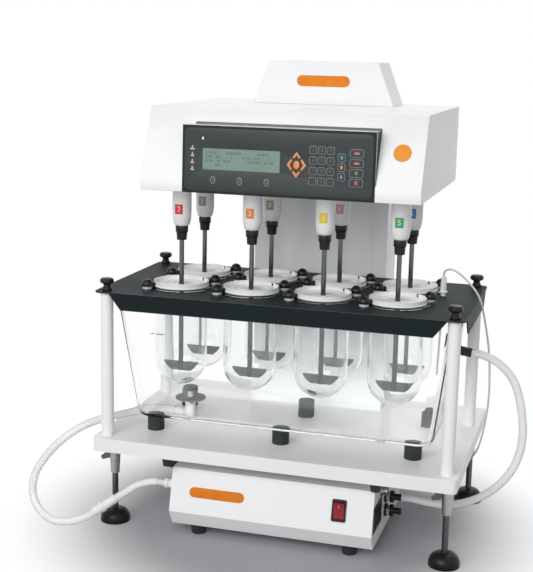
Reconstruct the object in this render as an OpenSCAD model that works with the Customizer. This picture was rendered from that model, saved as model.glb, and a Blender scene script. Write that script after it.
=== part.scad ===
// Dissolution tester: eight paddles stir eight glass vessels that hang in a heated water bath.
// Millimetres. The origin lies on the bench under the middle of the base plate:
// +X to the right, -Y to the front, +Z up.

/* [Base] */
// Height of the base plate's underside above the bench
leg_h = 170; // [160:1:200]
// Thickness of the base plate
base_t = 28.5; // [26:0.5:40]
// How far the base reaches past each side of the vessel plate
base_reach = 1; // [0:0.5:20]
// Radius of the base plate's upright corners
base_corner_r = 10; // [4:1:20]

/* [Levelling feet] */
// Distance from the base's side to a foot's axis
foot_inset_x = 24; // [22:1:60]
// Distance from the base's front or back to a foot's axis
foot_inset_y = 61; // [45:1:90]
// Diameter of a foot's bell-shaped pad
pad_d = 62; // [50:1:70]
// Height of a foot's pad
pad_h = 28; // [24:1:60]
// Diameter of a foot's screw
foot_screw_d = 13; // [10:0.5:16]
// Length of the screw inside the base plate
foot_screw_grip = 22; // [12:0.5:23]
// Diameter of the lock nut under the base
lock_nut_d = 25; // [22:0.5:30]
// Height of the tapered lock nut
lock_nut_h = 64; // [20:1:80]
// Reach of the lock nut's lever from the foot's axis
wing_reach = 31; // [20:1:40]

/* [Vessel stage] */
// Length of a support column between base and vessel plate
column_h = 301.5; // [290:0.5:320]
// Diameter of a support column
column_d = 25.5; // [20:0.5:30]
// Distance from the plate's side to a column's axis
column_inset_x = 21.5; // [18:0.5:25]
// Distance from the plate's front or back to a column's axis
column_inset_y = 20.5; // [18:0.5:25]
// Thickness of the vessel plate's sheet
plate_t = 3; // [2:0.5:5]
// Depth of the plate's bent flanges
plate_flange_h = 35; // [20:1:45]
// Distance from the outer vessel axes to the plate's sides
plate_side = 147; // [140:1:170]
// Distance from a row's axis to the plate's front or back
plate_end = 112.5; // [108:0.5:130]
// How far the plate's front stands behind the base's front
stage_set_back = 7; // [4:1:20]
// Diameter of a corner knob's cap
knob_d = 28; // [20:0.5:30]
// Height of a corner knob above the plate
knob_h = 26; // [22:1:45]

/* [Vessels] */
// Distance between neighbouring vessels in a row
vessel_pitch = 150; // [146:1:156]
// Distance between the two rows of vessels
row_gap = 141; // [138:1:150]
// Outer diameter of a vessel
vessel_od = 108; // [104:0.5:112]
// Wall of a vessel
vessel_wall = 2.5; // [1.5:0.1:4]
// Depth of a vessel below the top of its rim
vessel_depth = 205; // [180:1:215]
// Outer diameter of a vessel's rim
rim_od = 128; // [124:0.5:132]
// Thickness of a vessel's rim
rim_t = 3; // [2:0.5:5]
// Diameter of a vessel cover
cover_od = 115; // [110:0.5:117]
// Height of a vessel cover's upright edge
cover_h = 10; // [6:0.5:16]
// Wall of a vessel cover
cover_t = 2; // [1.5:0.1:3]
// Sideways distance from a vessel's axis to its clamps
clamp_dx = 57; // [54:0.5:62]
// Front to back distance from a vessel's axis to its clamps
clamp_dy = 47; // [44:0.5:52]
// Diameter of a clamp's dome
clamp_d = 23; // [15:0.5:24]

/* [Paddles] */
// Diameter of a paddle's shaft
shaft_d = 9.75; // [9.4:0.05:10.1]
// Width of a paddle's blade at its top
blade_w = 74.5; // [70:0.5:80]
// Width of the blade along its lower edge
blade_low_w = 42; // [38:0.5:46]
// Height of the blade
blade_h = 19; // [16:0.5:22]
// Radius of the blade's rounded ends
blade_r = 41.5; // [40.5:0.5:46]
// Thickness of the blade
blade_t = 4; // [3:0.5:5]
// Gap between the blade and the bottom of its vessel
blade_gap = 25; // [22:0.5:28]

/* [Water bath] */
// Distance from the plate's side to the bath's upper edge
bath_side_gap = 27; // [22:1:34]
// Distance from the plate's front to the bath's upper edge
bath_front_gap = 31; // [24:1:32]
// Distance from the plate's back to the bath's upper edge
bath_back_gap = 31; // [28:1:36]
// How far the bath narrows to its floor at the front and at each side
bath_taper = 35; // [24:1:37]
// How far the bath narrows to its floor at the back
bath_back_taper = 8; // [4:1:14]
// Wall of the bath
bath_wall = 5; // [3:0.5:6]
// Gap between the bath's upper edge and the vessel plate
bath_top_gap = 4; // [2:0.5:10]
// Height of the rubber blocks under the bath
block_h = 30; // [28:1:34]
// Diameter of the rubber blocks
block_d = 35; // [28:1:40]

/* [Tower] */
// Height of the tower above the base
tower_h = 512; // [500:1:530]
// Width of the tower
tower_w = 300; // [240:1:340]
// Depth of the tower
tower_d = 102; // [90:1:130]
// Gap between the vessel plate and the tower
tower_gap = 13; // [8:1:30]
// Diameter of the sliding lift column
lift_column_d = 50; // [40:1:60]
// Travel of the head
lift_travel = 250; // [200:5:260]

/* [Drive head] */
// Height of the head
head_h = 161; // [150:1:180]
// Distance from the outer vessel axes to the head's sides
head_side = 52; // [46:1:70]
// How far the head's front stands behind the base's front
head_set_back = 25; // [20:1:30]
// How far the fascia leans back at its top
fascia_lean = 58; // [48:1:70]
// Height of the upright band below the fascia
fascia_low_h = 24.5; // [20:0.5:30]
// Thickness of the head's and covers' sheet
sheet = 2.5; // [2:0.1:4]
// Diameter of a spindle hub
hub_d = 39; // [38.5:0.5:42]
// Diameter of a hub's lower end
hub_tip_d = 26; // [24:0.5:34]
// How far the hubs hang below the head
hub_drop = 81; // [76:1:86]
// Height of a hub's rounded end
hub_taper_h = 30; // [20:1:32]
// Diameter of a hollow spindle
spindle_d = 17; // [15:0.5:17.5]
// Outer diameter of a spindle bearing
bearing_d = 35; // [33:0.5:35]
// Height of a spindle bearing
bearing_h = 10; // [8:0.5:12]
// Diameter of a chuck at its top
chuck_d = 24.6; // [23:0.1:27]
// Diameter of a chuck at its lower end
chuck_tip_d = 20; // [15:0.5:22]
// Length of a chuck
chuck_h = 28.5; // [24:0.5:32]
// Diameter of a spindle pulley
pulley_d = 50; // [44:1:56]
// Diameter of the motor pulley
motor_pulley_d = 25; // [20:1:30]
// Width of the drive belts
belt_w = 12; // [8:0.5:14]
// Thickness of the drive belts
belt_t = 2.5; // [1.5:0.1:3.5]
// Diameter of the drive motor
motor_d = 70; // [56:1:80]
// Length of the drive motor
motor_h = 100; // [80:1:110]

/* [Control panel] */
// Width of the control panel
panel_w = 380; // [360:1:400]
// Height of the control panel
panel_h = 130; // [120:1:132]
// Gap between the panel's lower edge and the head's lower edge
panel_up = 0; // [0:0.5:6]
// How far the panel's lower edge stands in front of the head
panel_proud = 1.5; // [1:0.5:6]
// How far the panel's face leans back
panel_lean = 4; // [0:0.5:10]
// Dark border left around the keypad overlay
overlay_border = 5; // [3:0.5:10]
// Width of the display window
window_w = 155; // [140:1:160]
// Height of the display window
window_h = 41; // [36:1:46]
// Thickness of the display module
display_t = 7; // [4:0.5:8]

/* [Motor cover] */
// Width of the motor cover at the head's top
motor_cover_w = 306; // [280:1:340]
// Width of the motor cover's top
motor_cover_top_w = 236; // [210:1:260]
// Height of the motor cover
motor_cover_h = 90; // [85:1:110]
// Depth of the motor cover
motor_cover_d = 112; // [100:1:130]
// Distance from the head's back to the motor cover
motor_cover_inset = 32; // [20:1:40]
// How far the motor cover's middle stands to the right of the head's middle
motor_cover_shift = 6.5; // [0:0.5:12]

/* [Circulator] */
// Width of the circulator's case
circ_w = 422; // [380:1:460]
// Height of the circulator's case
circ_h = 120; // [110:1:125]
// Depth of the circulator's case
circ_d = 312; // [280:1:340]
// How far the case's front edge stands behind the base's front
circ_set_back = 17; // [10:1:40]
// How far the case's front leans back at its top
circ_lean = 22; // [14:1:30]
// How far the case's front draws back at its bottom
circ_chin = 19; // [10:1:26]
// Height of the drawn-back lower front
circ_chin_h = 32; // [24:1:36]
// Height of the circulator's feet
circ_foot_h = 22; // [16:1:26]
// Diameter of the circulator's feet
circ_foot_d = 33; // [24:1:40]
// Distance from the case's right side to the rocker switch
switch_inset = 68.5; // [45:0.5:90]
// Width of the switch frame
switch_w = 29; // [26:0.5:34]
// Height of the switch frame
switch_h = 44; // [41:0.5:50]
// Angle by which the rocker tips to each side
rocker_tilt = 8; // [5:0.5:10]

/* [Hoses] */
// Outer diameter of the hoses
hose_d = 16; // [13:0.5:17]
// Diameter of the probe cable
cable_d = 4; // [3:0.5:5]

/* [Hidden] */
$fn = 48;
running = 0.05;
slip = 0.2;
air = 0.5;
past = 1;

// The stage: vessel plate, columns and rows of vessels, placed from the base's front
plate_w = 3*vessel_pitch + 2*plate_side;
plate_d = row_gap + 2*plate_end;
base_w = plate_w + 2*base_reach;
base_d = stage_set_back + plate_d + tower_gap + tower_d;
base_front = -base_d/2;
base_back = base_d/2;
deck_z = leg_h + base_t;
plate_front = base_front + stage_set_back;
stage_y = plate_front + plate_d/2;
plate_z = deck_z + column_h + plate_t;
column_x = plate_w/2 - column_inset_x;
column_dy = plate_d/2 - column_inset_y;
stem_d = 8;
foot_x = base_w/2 - foot_inset_x;
foot_y = base_d/2 - foot_inset_y;

// Stations 1 to 8 run from the rear left corner along the front and back again along the rear
station_grid = [[-1.5, 1], [-1.5, -1], [-0.5, -1], [0.5, -1], [1.5, -1], [1.5, 1], [0.5, 1], [-0.5, 1]];
function station(i) =
    [station_grid[i - 1][0]*vessel_pitch, stage_y + station_grid[i - 1][1]*row_gap/2];
stations = [for (i = [1:8]) station(i)];
driven_station = 8;

// Heights of a vessel and of what hangs in it
rim_z = plate_z + rim_t;
vessel_r = vessel_od/2;
vessel_inner_r = vessel_r - vessel_wall;
vessel_floor_z = rim_z - vessel_depth;
vessel_round_z = vessel_floor_z + vessel_inner_r;
blade_z = vessel_floor_z + blade_gap;
cover_z = rim_z + air;
cover_hole_d = shaft_d + 4;
cover_edge_t = 2.5;

// The clamps: a stud through the plate, a bright collar, a black dome and a beak over the rim
clamp_stud_d = 6;
clamp_collar_h = rim_t + 2.5;
clamp_barrel_h = 3.5;
clamp_reach = norm([clamp_dx, clamp_dy]);
clamp_turn = atan2(clamp_dy, clamp_dx);
beak_w = 7;
beak_h = 8;
beak_tip_l = 4;
beak_tip_r = cover_od/2 + air + beak_tip_l/2;

// The bath's outline between its floor and its upper edge
bath_floor_z = deck_z + block_h;
bath_top_z = plate_z - plate_t - bath_top_gap;
bath_h = bath_top_z - bath_floor_z;
bath_front_y = plate_front + bath_front_gap;
bath_back_y = plate_front + plate_d - bath_back_gap;
bath_top_hw = plate_w/2 - bath_side_gap;
bath_corner_r = 32;
bath_edge_r = 12;
bath_wall_tilt = atan2(bath_taper, bath_h);
function bath_side_x(z) = bath_top_hw - bath_taper*(bath_top_z - z)/bath_h;

// Bath fittings and the flow spreader
outlet_y = stage_y - 6;
outlet_z = bath_top_z - 90;
spreader_x = -1.5*vessel_pitch - 5;
spreader_y = stage_y + 4;
spreader_d = 65;
shank_d = 15;
nut_d = 27;
barb_l = 34;
barb_d = 13;
inlet_axis_z = deck_z + 15.5;

// The tower and its lift column
tower_front = base_back - tower_d;
tower_y = (tower_front + base_back)/2;
tower_top = deck_z + tower_h;
guide_t = 8;
guide_step = 80;
lift_flange_d = lift_column_d + 30;
lift_flange_t = 6;
lift_tail = guide_step + guide_t + lift_travel + 40;
seam_x = tower_w/2 - 31;
seam_w = 1.2;

// The head and its fascia
head_z = tower_top + air;
head_w = 3*vessel_pitch + 2*head_side;
head_front = base_front + head_set_back;
head_top = head_z + head_h;
crease_z = head_z + fascia_low_h;
head_outline = [
    [head_front, head_z], [base_back, head_z], [base_back, head_top],
    [head_front + fascia_lean, head_top], [head_front, crease_z]];
floor_top = head_z + sheet;
function fascia_y(z) = head_front + fascia_lean*max(0, z - crease_z)/(head_top - crease_z);

// Hubs, bearings, spindles and pulleys
hub_tip_z = head_z - hub_drop;
hub_flange_d = hub_d + 20;
hub_flange_t = 5;
hub_top_z = floor_top + hub_flange_t;
low_bearing_z = hub_tip_z + hub_taper_h + 2;
high_bearing_z = hub_top_z - bearing_h - 2;
hub_bore_d = bearing_d - 4;
chuck_top_z = hub_tip_z - air;
chuck_z = chuck_top_z - chuck_h;
spindle_grip = 15;
spindle_z = chuck_top_z - spindle_grip;
spindle_bore_d = shaft_d + 2*slip;
shaft_top_z = floor_top + 10;
main_belt_z = hub_top_z + 22;
motor_belt_z = main_belt_z + belt_w + 12;
pulley_flange_t = 2;
pulley_flange = 3;
spindle_top_z = motor_belt_z + belt_w + 6;
belt_air = 0.15;

// The motor hangs over the head's rear, under the motor cover
motor_cover_back = base_back - motor_cover_inset;
motor_y = motor_cover_back - motor_cover_d/2;
motor_bracket_z = motor_belt_z + belt_w + 14;
motor_bracket_t = 5;
motor_z = motor_bracket_z + motor_bracket_t;
motor_shaft_d = 8;
motor_post_dx = 52;
motor_post_dy = 34;
motor_post_d = 10;
motor_hole_w = 180;
motor_hole_d = motor_cover_d - 20;

// The control panel's face: its middle, its lean and a helper to place things on it
panel_z = head_z + panel_up;
panel_top = panel_z + panel_h;
panel_low_y = head_front - panel_proud;
panel_top_y = panel_low_y + panel_lean;
panel_tilt = atan2(panel_lean, panel_h);
overlay_t = 0.8;
overlay_r = 10;
window_x = -71.5;
window_y = 1.5;
key_t = 0.5;

// The circulator's case, seen from its right side
circ_z = circ_foot_h;
circ_front = base_front + circ_set_back;
circ_back = circ_front + circ_d;
circ_top = circ_z + circ_h;
circ_crease_z = circ_z + circ_chin_h;
circ_outline = [
    [circ_front + circ_chin, circ_z], [circ_back, circ_z], [circ_back, circ_top],
    [circ_front + circ_lean, circ_top], [circ_front, circ_crease_z]];
circ_tilt = atan2(circ_lean, circ_top - circ_crease_z);
circ_foot_dx = circ_w/2 - 51;
circ_foot_front = circ_front + 40;
circ_foot_back = circ_back - 40;
bumper_x = 215;
bumper_inset = 19;
bumper_d = 24;
bumper_h = 19;
vent_y = circ_front + 18;
vent_z = circ_z + 36;
vent_l = 72;
vent_h = 48;
vent_slots = 8;
socket_y = circ_front + 87;
socket_z = circ_top - 20;
right_port_y = circ_front + 137;
right_port_z = circ_z + 70;
spare_port_z = circ_z + 40;
left_port_y = circ_front + 26;
left_port_z = circ_z + 81;
gland_y = circ_back - 55;
gland_z = circ_z + 86;
gland_l = 21;
port_hole_d = 12;
pump_y = (circ_front + circ_back)/2 + 11;
pump_z = circ_z + 62;
pump_r = 40;

// The rocker switch, on the middle of the case's leaning front
switch_x = circ_w/2 - switch_inset;
switch_bezel_t = 2.5;
switch_well_w = switch_w - 7;
switch_well_h = switch_h - 11;
switch_body_w = switch_well_w + 3;
switch_body_h = switch_well_h + 3;
switch_body_t = 18;
rocker_w = switch_well_w - 0.8;
rocker_h = switch_well_h - 2;
rocker_pin_d = 3;

// The probe stands on the plate and dips into the bath
probe_x = 1.5*vessel_pitch + 73;
probe_y = stage_y + 40;
probe_d = 13;
probe_flange_d = 17;
probe_body_h = 39;
probe_rod_d = 6;
probe_rod_l = 175;

// Routes of the hoses and the cable, end to end, as they lie between their fittings
supply_points = [
    [-264, -50, 214], [-286, -50, 214], [-308, -56, 213], [-330, -72, 212], [-351, -96, 211],
    [-371, -123, 210], [-393, -147, 207], [-419, -167, 199], [-447, -182, 182], [-474, -194, 159],
    [-498, -206, 130], [-516, -217, 97], [-519, -228, 64], [-508, -238, 38], [-487, -246, 19],
    [-458, -252, 9], [-425, -250, 11], [-399, -246, 19], [-376, -239, 32], [-352, -230, 49],
    [-328, -221, 66], [-295, -209, 90], [-274, -203, 99], [-256, -201, 103], [-245, -201, 103]];
return_points = [
    [367, -60, 402], [387, -60, 399.5], [407, -61, 393], [426, -62, 382], [444, -63, 365],
    [458, -65, 342], [468, -67, 312], [474, -69, 280], [477, -70, 248], [474, -73, 212],
    [463, -75, 178], [446, -77, 150], [423, -80, 126], [394, -83, 106], [362, -86, 93],
    [328, -88, 87], [295, -90, 89], [267, -90, 92], [245, -90, 92]];
cable_points = [
    [298, -14, 542], [298, -14, 551], [303, -15, 557], [313, -17, 559], [327, -20, 554],
    [342, -23, 543], [357, -26, 529], [369, -28, 514], [378, -30, 495], [384, -31, 472],
    [390, -32, 445], [396, -32, 413], [400, -32, 378], [402, -30, 340], [402, -26, 302],
    [399, -18, 266], [394, -8, 232], [388, 4, 202], [380, 14, 175], [365, 22, 150],
    [342, 27, 130], [312, 29, 117], [278, 30, 110], [252, 30, 108], [232, 30, 108]];

// A route keeps its points near each end with the fitting there when a fitting moves
function share(i, keep, last) = max(0, min(1, (i - keep)/(last - 2*keep)));
function follow(pts, a, b, keep) =
    let (last = len(pts) - 1)
    [for (i = [0:last])
        pts[i] + (1 - share(i, keep, last))*(a - pts[0]) + share(i, keep, last)*(b - pts[last])];
outlet_tip = [
    bath_side_x(outlet_z) + barb_l*cos(bath_wall_tilt), outlet_y, outlet_z - barb_l*sin(bath_wall_tilt)];
inlet_tip = [spreader_x - barb_l, spreader_y, inlet_axis_z];
supply_route = follow(supply_points, inlet_tip, [-circ_w/2 - barb_l, left_port_y, left_port_z], 7);
return_route = follow(return_points, outlet_tip, [circ_w/2 + barb_l, right_port_y, right_port_z], 5);
cable_route = follow(
    cable_points, [probe_x, probe_y, plate_z + probe_body_h], [circ_w/2 + gland_l, gland_y, gland_z], 8);
coupling_from = supply_route[18];
coupling_to = supply_route[20];
coupling_in = 3;
coupling_d = 21;
hose_sides = 10;
cable_sides = 8;

white = [0.93, 0.93, 0.92];
dark = [0.16, 0.18, 0.19];
black = [0.07, 0.07, 0.07];
steel = [0.68, 0.69, 0.70];
clear = [0.85, 0.90, 0.92, 0.4];
milky = [0.90, 0.91, 0.90, 0.8];

// Inward offset of a convex outline whose points run anticlockwise
function inward(a, b) = [a[1] - b[1], b[0] - a[0]]/norm(b - a);
function cross_of(a, b) = a[0]*b[1] - a[1]*b[0];
function meeting(p, r, q, s) = p + r*cross_of(q - p, s)/cross_of(r, s);
function inset_outline(pts, t) = [
    for (i = [0:len(pts) - 1])
        let (a = pts[(i + len(pts) - 1) % len(pts)])
        let (b = pts[i])
        let (c = pts[(i + 1) % len(pts)])
        meeting(a + t*inward(a, b), b - a, b + t*inward(b, c), c - b)];

// A rounded rectangle about the origin
module rounded_outline(w, d, r) {
    square([w - 2*r, d], center = true);
    square([w, d - 2*r], center = true);
    for (x = [-1, 1], y = [-1, 1])
        translate([x*(w/2 - r), y*(d/2 - r)]) circle(r);
}

// An outline in Y and Z drawn out to both sides along X
module across(width, pts) {
    translate([-width/2, 0, 0]) rotate([90, 0, 90]) linear_extrude(width) polygon(pts);
}

module at_columns() {
    for (x = [-1, 1], y = [-1, 1])
        translate([x*column_x, stage_y + y*column_dy, 0]) children();
}

module at_feet() {
    for (x = [-1, 1], y = [-1, 1])
        translate([x*foot_x, y*foot_y, 0]) children();
}

module at_stations() {
    for (p = stations)
        translate([p[0], p[1], 0]) children();
}

// Both clamps of every vessel, each turned so that +X points to its vessel
module at_clamps() {
    at_stations()
        for (a = [0, 180])
            rotate(a + clamp_turn) translate([-clamp_reach, 0, 0]) children();
}

// A tube along a route: one ring of points at each route point
function unit(v) = v/norm(v);
function heading(r, i) = unit(r[min(i + 1, len(r) - 1)] - r[max(i - 1, 0)]);
function ring(r, i, d, n) =
    let (t = heading(r, i))
    let (u = unit(cross([0, 1, 0], t)))
    let (v = cross(t, u))
    [for (k = [0:n - 1]) r[i] + d/2*(cos(360*k/n)*u + sin(360*k/n)*v)];
module tube(route, d, n) {
    last = len(route) - 1;
    points = [for (i = [0:last]) each ring(route, i, d, n)];
    sides = [
        for (i = [0:last - 1], k = [0:n - 1])
            let (a = i*n + k)
            let (b = i*n + (k + 1) % n)
            each [[a, a + n, b], [b, a + n, b + n]]];
    near_end = [for (k = [1:n - 2]) [0, k, k + 1]];
    far_end = [for (k = [1:n - 2]) [last*n, last*n + k + 1, last*n + k]];
    polyhedron(points, concat(sides, near_end, far_end));
}

// A ribbed hose tail along +Z that starts at z = 0
module barb(l, d = barb_d) {
    ribs = 4;
    step = l/ribs;
    for (i = [0:ribs - 1])
        translate([0, 0, i*step]) cylinder(d1 = d + 2, d2 = d - 1, h = step);
}

module base_plate() {
    color(white) difference() {
        translate([0, 0, leg_h]) linear_extrude(base_t) rounded_outline(base_w, base_d, base_corner_r);
        at_feet() translate([0, 0, leg_h - past])
            cylinder(d = foot_screw_d + 2*running, h = foot_screw_grip + air + past);
    }
}

// A bell pad on a screw, with the lock nut that is run up against the base
module levelling_foot(sx, sy) {
    pad_band = 6;
    neck_r = foot_screw_d/2 + 3;
    nut_low_d = foot_screw_d + 5;
    lever_w = 10;
    translate([sx*foot_x, sy*foot_y, 0]) {
        color(black) rotate_extrude() polygon(concat(
            [[0, 0], [pad_d/2, 0]],
            [for (a = [0:10:90])
                [neck_r + (pad_d/2 - neck_r)*cos(a), pad_band + (pad_h - pad_band)*sin(a)]],
            [[0, pad_h]]));
        color(steel) {
            translate([0, 0, pad_h - past])
                cylinder(d = foot_screw_d, h = leg_h + foot_screw_grip - pad_h + past);
            translate([0, 0, leg_h - air - lock_nut_h])
                cylinder(d1 = nut_low_d, d2 = lock_nut_d, h = lock_nut_h);
            translate([0, lever_w/2, leg_h]) rotate([90, 0, 0]) linear_extrude(lever_w) polygon([
                [0, -22], [-wing_reach + 8, -24], [-wing_reach, -31], [-wing_reach + 4, -38],
                [-12, -33], [0, -44]]);
        }
    }
}

// Tubes with a plug in the upper end that takes the knob's stem
module support_columns() {
    column_wall = 3;
    plug_h = 30;
    collar_h = 5;
    color(white) at_columns() translate([0, 0, deck_z]) difference() {
        union() {
            cylinder(d = column_d, h = column_h);
            translate([0, 0, column_h - collar_h]) cylinder(d = column_d + 2, h = collar_h);
        }
        translate([0, 0, -past]) cylinder(d = column_d - 2*column_wall, h = column_h - plug_h + past);
        translate([0, 0, column_h - plug_h - past])
            cylinder(d = stem_d + 2*slip, h = plug_h + 2*past);
    }
}

// One bent flange in X and Z, hanging from z = 0, with slanting ends
module flange_sheet(w) {
    slant = plate_flange_h*0.8;
    rotate([90, 0, 0]) linear_extrude(plate_t)
        polygon([[-w/2, 0], [w/2, 0], [w/2 - slant, -plate_flange_h], [-w/2 + slant, -plate_flange_h]]);
}

module vessel_plate() {
    corner_cut = 31;
    corner_r = 15;
    hw = plate_w/2;
    hd = plate_d/2;
    color(dark) difference() {
        translate([0, stage_y, plate_z]) {
            translate([0, 0, -plate_t]) linear_extrude(plate_t) rounded_outline(plate_w, plate_d, corner_r);
            for (s = [0, 180])
                rotate(s) translate([0, -hd + plate_t, 0]) flange_sheet(plate_w - 2*corner_cut);
            for (s = [90, 270])
                rotate(s) translate([0, -hw + plate_t, 0]) flange_sheet(plate_d - 2*corner_cut);
        }
        translate([0, 0, plate_z - plate_t - past]) {
            at_stations() cylinder(d = vessel_od + 2*air, h = plate_t + 2*past);
            at_columns() cylinder(d = stem_d + 2*slip, h = plate_t + 2*past);
            at_clamps() cylinder(d = clamp_stud_d + 2*slip, h = plate_t + 2*past);
            translate([probe_x, probe_y, 0]) cylinder(d = probe_rod_d + 2*slip, h = plate_t + 2*past);
        }
    }
}

// Mushroom knobs whose stems clamp the plate to the columns
module corner_knobs() {
    stem_l = 20;
    color(black) at_columns() translate([0, 0, plate_z]) {
        translate([0, 0, -plate_t - stem_l]) cylinder(d = stem_d, h = stem_l + plate_t + past);
        rotate_extrude() polygon([
            [0, 0], [knob_d*0.36, 0], [knob_d*0.36, 4], [knob_d*0.26, 8], [knob_d*0.26, knob_h*0.5],
            [knob_d*0.42, knob_h - 11], [knob_d/2, knob_h - 9], [knob_d/2, knob_h - 4],
            [knob_d*0.4, knob_h - 1], [knob_d*0.2, knob_h], [0, knob_h]]);
    }
}

module vessel_clamps() {
    collar_d = min(clamp_d - 2, 2*(clamp_reach - rim_od/2 - slip));
    stud_l = 10;
    dome_z = clamp_collar_h + clamp_barrel_h;
    beak_z = clamp_collar_h - 1;
    beak_l = clamp_reach - beak_tip_r + beak_tip_l/2;
    at_clamps() translate([0, 0, plate_z]) {
        color(steel) translate([0, 0, -plate_t - stud_l])
            cylinder(d = clamp_stud_d, h = stud_l + plate_t + past);
        color(steel) cylinder(d = collar_d, h = clamp_collar_h);
        color(black) {
            translate([0, 0, clamp_collar_h]) cylinder(d = clamp_d, h = clamp_barrel_h);
            translate([0, 0, dome_z]) intersection() {
                sphere(d = clamp_d);
                translate([-clamp_d, -clamp_d, 0]) cube([2*clamp_d, 2*clamp_d, clamp_d]);
            }
            translate([0, -beak_w/2, beak_z]) cube([beak_l, beak_w, beak_h]);
            translate([beak_l - beak_tip_l, -beak_w/2, rim_t])
                cube([beak_tip_l, beak_w, beak_z - rim_t + past]);
        }
    }
}

// Round-bottomed glass cylinders that hang from their rims
module vessels() {
    color(clear) at_stations() difference() {
        union() {
            translate([0, 0, vessel_round_z]) sphere(r = vessel_r, $fn = 64);
            translate([0, 0, vessel_round_z]) cylinder(r = vessel_r, h = rim_z - vessel_round_z, $fn = 64);
            translate([0, 0, plate_z]) cylinder(d = rim_od, h = rim_t);
        }
        translate([0, 0, vessel_round_z]) sphere(r = vessel_inner_r, $fn = 64);
        translate([0, 0, vessel_round_z]) cylinder(r = vessel_inner_r, h = vessel_depth, $fn = 64);
    }
}

// A dish with an upright edge, a hole for the shaft and a notch at the rear
module vessel_cover(i) {
    notch_w = 6;
    color(milky) translate([station(i)[0], station(i)[1], cover_z]) difference() {
        cylinder(d = cover_od, h = cover_h);
        translate([0, 0, cover_t]) cylinder(d = cover_od - 2*cover_edge_t, h = cover_h);
        translate([0, 0, -past]) cylinder(d = cover_hole_d, h = cover_h);
        rotate(55) translate([cover_od/2 - 2*cover_edge_t, -notch_w/2, cover_t])
            cube([3*cover_edge_t, notch_w, cover_h]);
    }
}

// One level of the bath: a rounded rectangle at height z, drawn in on every side by inset
bath_corner_steps = 5;
function bath_level(z, inset) =
    let (drop = (bath_top_z - z)/bath_h)
    let (front = bath_front_y + bath_taper*drop + inset)
    let (back = bath_back_y - bath_back_taper*drop - inset)
    let (hw = bath_top_hw - bath_taper*drop - inset)
    let (r = bath_corner_r - inset)
    [for (q = [0:3], k = [0:bath_corner_steps])
        let (a = 90*q + 90*k/bath_corner_steps)
        let (x = (q == 0 || q == 3) ? hw - r : r - hw)
        let (y = q < 2 ? back - r : front + r)
        [x + r*cos(a), y + r*sin(a), z]];

// A tub without a lid: levels up the outside, over the upper edge and down the inside
module tub(levels) {
    n = len(levels[0]);
    last = len(levels) - 1;
    points = [for (l = levels) each l];
    walls = [
        for (i = [0:last - 1], k = [0:n - 1])
            let (a = i*n + k)
            let (b = i*n + (k + 1) % n)
            each [[a, a + n, b], [b, a + n, b + n]]];
    under = [for (k = [1:n - 2]) [0, k, k + 1]];
    over = [for (k = [1:n - 2]) [last*n, last*n + k + 1, last*n + k]];
    polyhedron(points, concat(walls, under, over));
}

module bath_form() {
    low = bath_floor_z;
    low_in = bath_floor_z + bath_wall;
    e = bath_edge_r;
    w = bath_wall;
    tub([
        bath_level(low, e), bath_level(low + e/4, e/3), bath_level(low + e, 0), bath_level(bath_top_z, 0),
        bath_level(bath_top_z, w), bath_level(low_in + e, w), bath_level(low_in + e/4, e/3 + w),
        bath_level(low_in, e + w)]);
}

module at_outlet() {
    translate([bath_side_x(outlet_z), outlet_y, outlet_z]) rotate([0, 90 + bath_wall_tilt, 0]) children();
}

module water_bath() {
    color(clear) difference() {
        bath_form();
        at_outlet() translate([0, 0, -3*bath_wall]) cylinder(d = shank_d + 2*slip, h = 6*bath_wall);
        translate([spreader_x, spreader_y, bath_floor_z - past])
            cylinder(d = shank_d + 2*slip, h = bath_wall + 2*past);
    }
}

// Outlet in the right wall, and the inlet under the floor with its flow spreader
module bath_fittings() {
    inner_nut_h = 7;
    nut_h = 10;
    spreader_t = 3;
    spreader_up = 10;
    riser_d = 12;
    riser_h = 16;
    cap_d = 32;
    cap_h = 7;
    floor_in = bath_floor_z + bath_wall;
    elbow_low = inlet_axis_z - 11;
    color(dark) at_outlet() {
        translate([0, 0, -bath_wall - inner_nut_h - slip])
            cylinder(d = shank_d, h = bath_wall + inner_nut_h + 1);
        translate([0, 0, -bath_wall - inner_nut_h - slip]) cylinder(d = nut_d, h = inner_nut_h, $fn = 6);
        translate([0, 0, slip]) cylinder(d = nut_d, h = nut_h, $fn = 6);
        translate([0, 0, nut_h]) barb(barb_l - nut_h, barb_d + 5);
    }
    color(dark) translate([spreader_x, spreader_y, 0]) {
        translate([0, 0, elbow_low]) cylinder(d = nut_d - 4, h = bath_floor_z - elbow_low);
        translate([0, 0, bath_floor_z - past]) cylinder(d = shank_d, h = bath_wall + spreader_up + past);
        translate([0, 0, floor_in]) cylinder(d = nut_d, h = inner_nut_h, $fn = 6);
        translate([0, 0, floor_in + spreader_up]) {
            cylinder(d = spreader_d, h = spreader_t);
            cylinder(d = riser_d, h = spreader_t + riser_h + past);
            translate([0, 0, spreader_t + riser_h]) cylinder(d = cap_d, h = cap_h);
        }
        translate([0, 0, inlet_axis_z]) rotate([0, -90, 0]) barb(barb_l);
    }
}

// Blocks under the bath, feet under the circulator and bumpers under the base
module rubber_feet() {
    block_x = bath_top_hw - bath_taper - 38;
    block_front = bath_front_y + bath_taper + 26;
    block_back = bath_back_y - bath_back_taper - 27;
    color(black) {
        for (x = [-1, 0, 1], y = [block_front, block_back])
            translate([x*block_x, y, deck_z]) cylinder(d = block_d, h = block_h);
        for (x = [-1, 1], y = [circ_foot_front, circ_foot_back])
            translate([x*circ_foot_dx, y, 0])
                cylinder(d1 = circ_foot_d - 4, d2 = circ_foot_d, h = circ_foot_h);
        for (x = [-1, 1], y = [-1, 1])
            translate([x*bumper_x, y*(base_back - bumper_inset), leg_h - bumper_h])
                cylinder(d1 = bumper_d - 5, d2 = bumper_d, h = bumper_h);
    }
}

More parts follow.
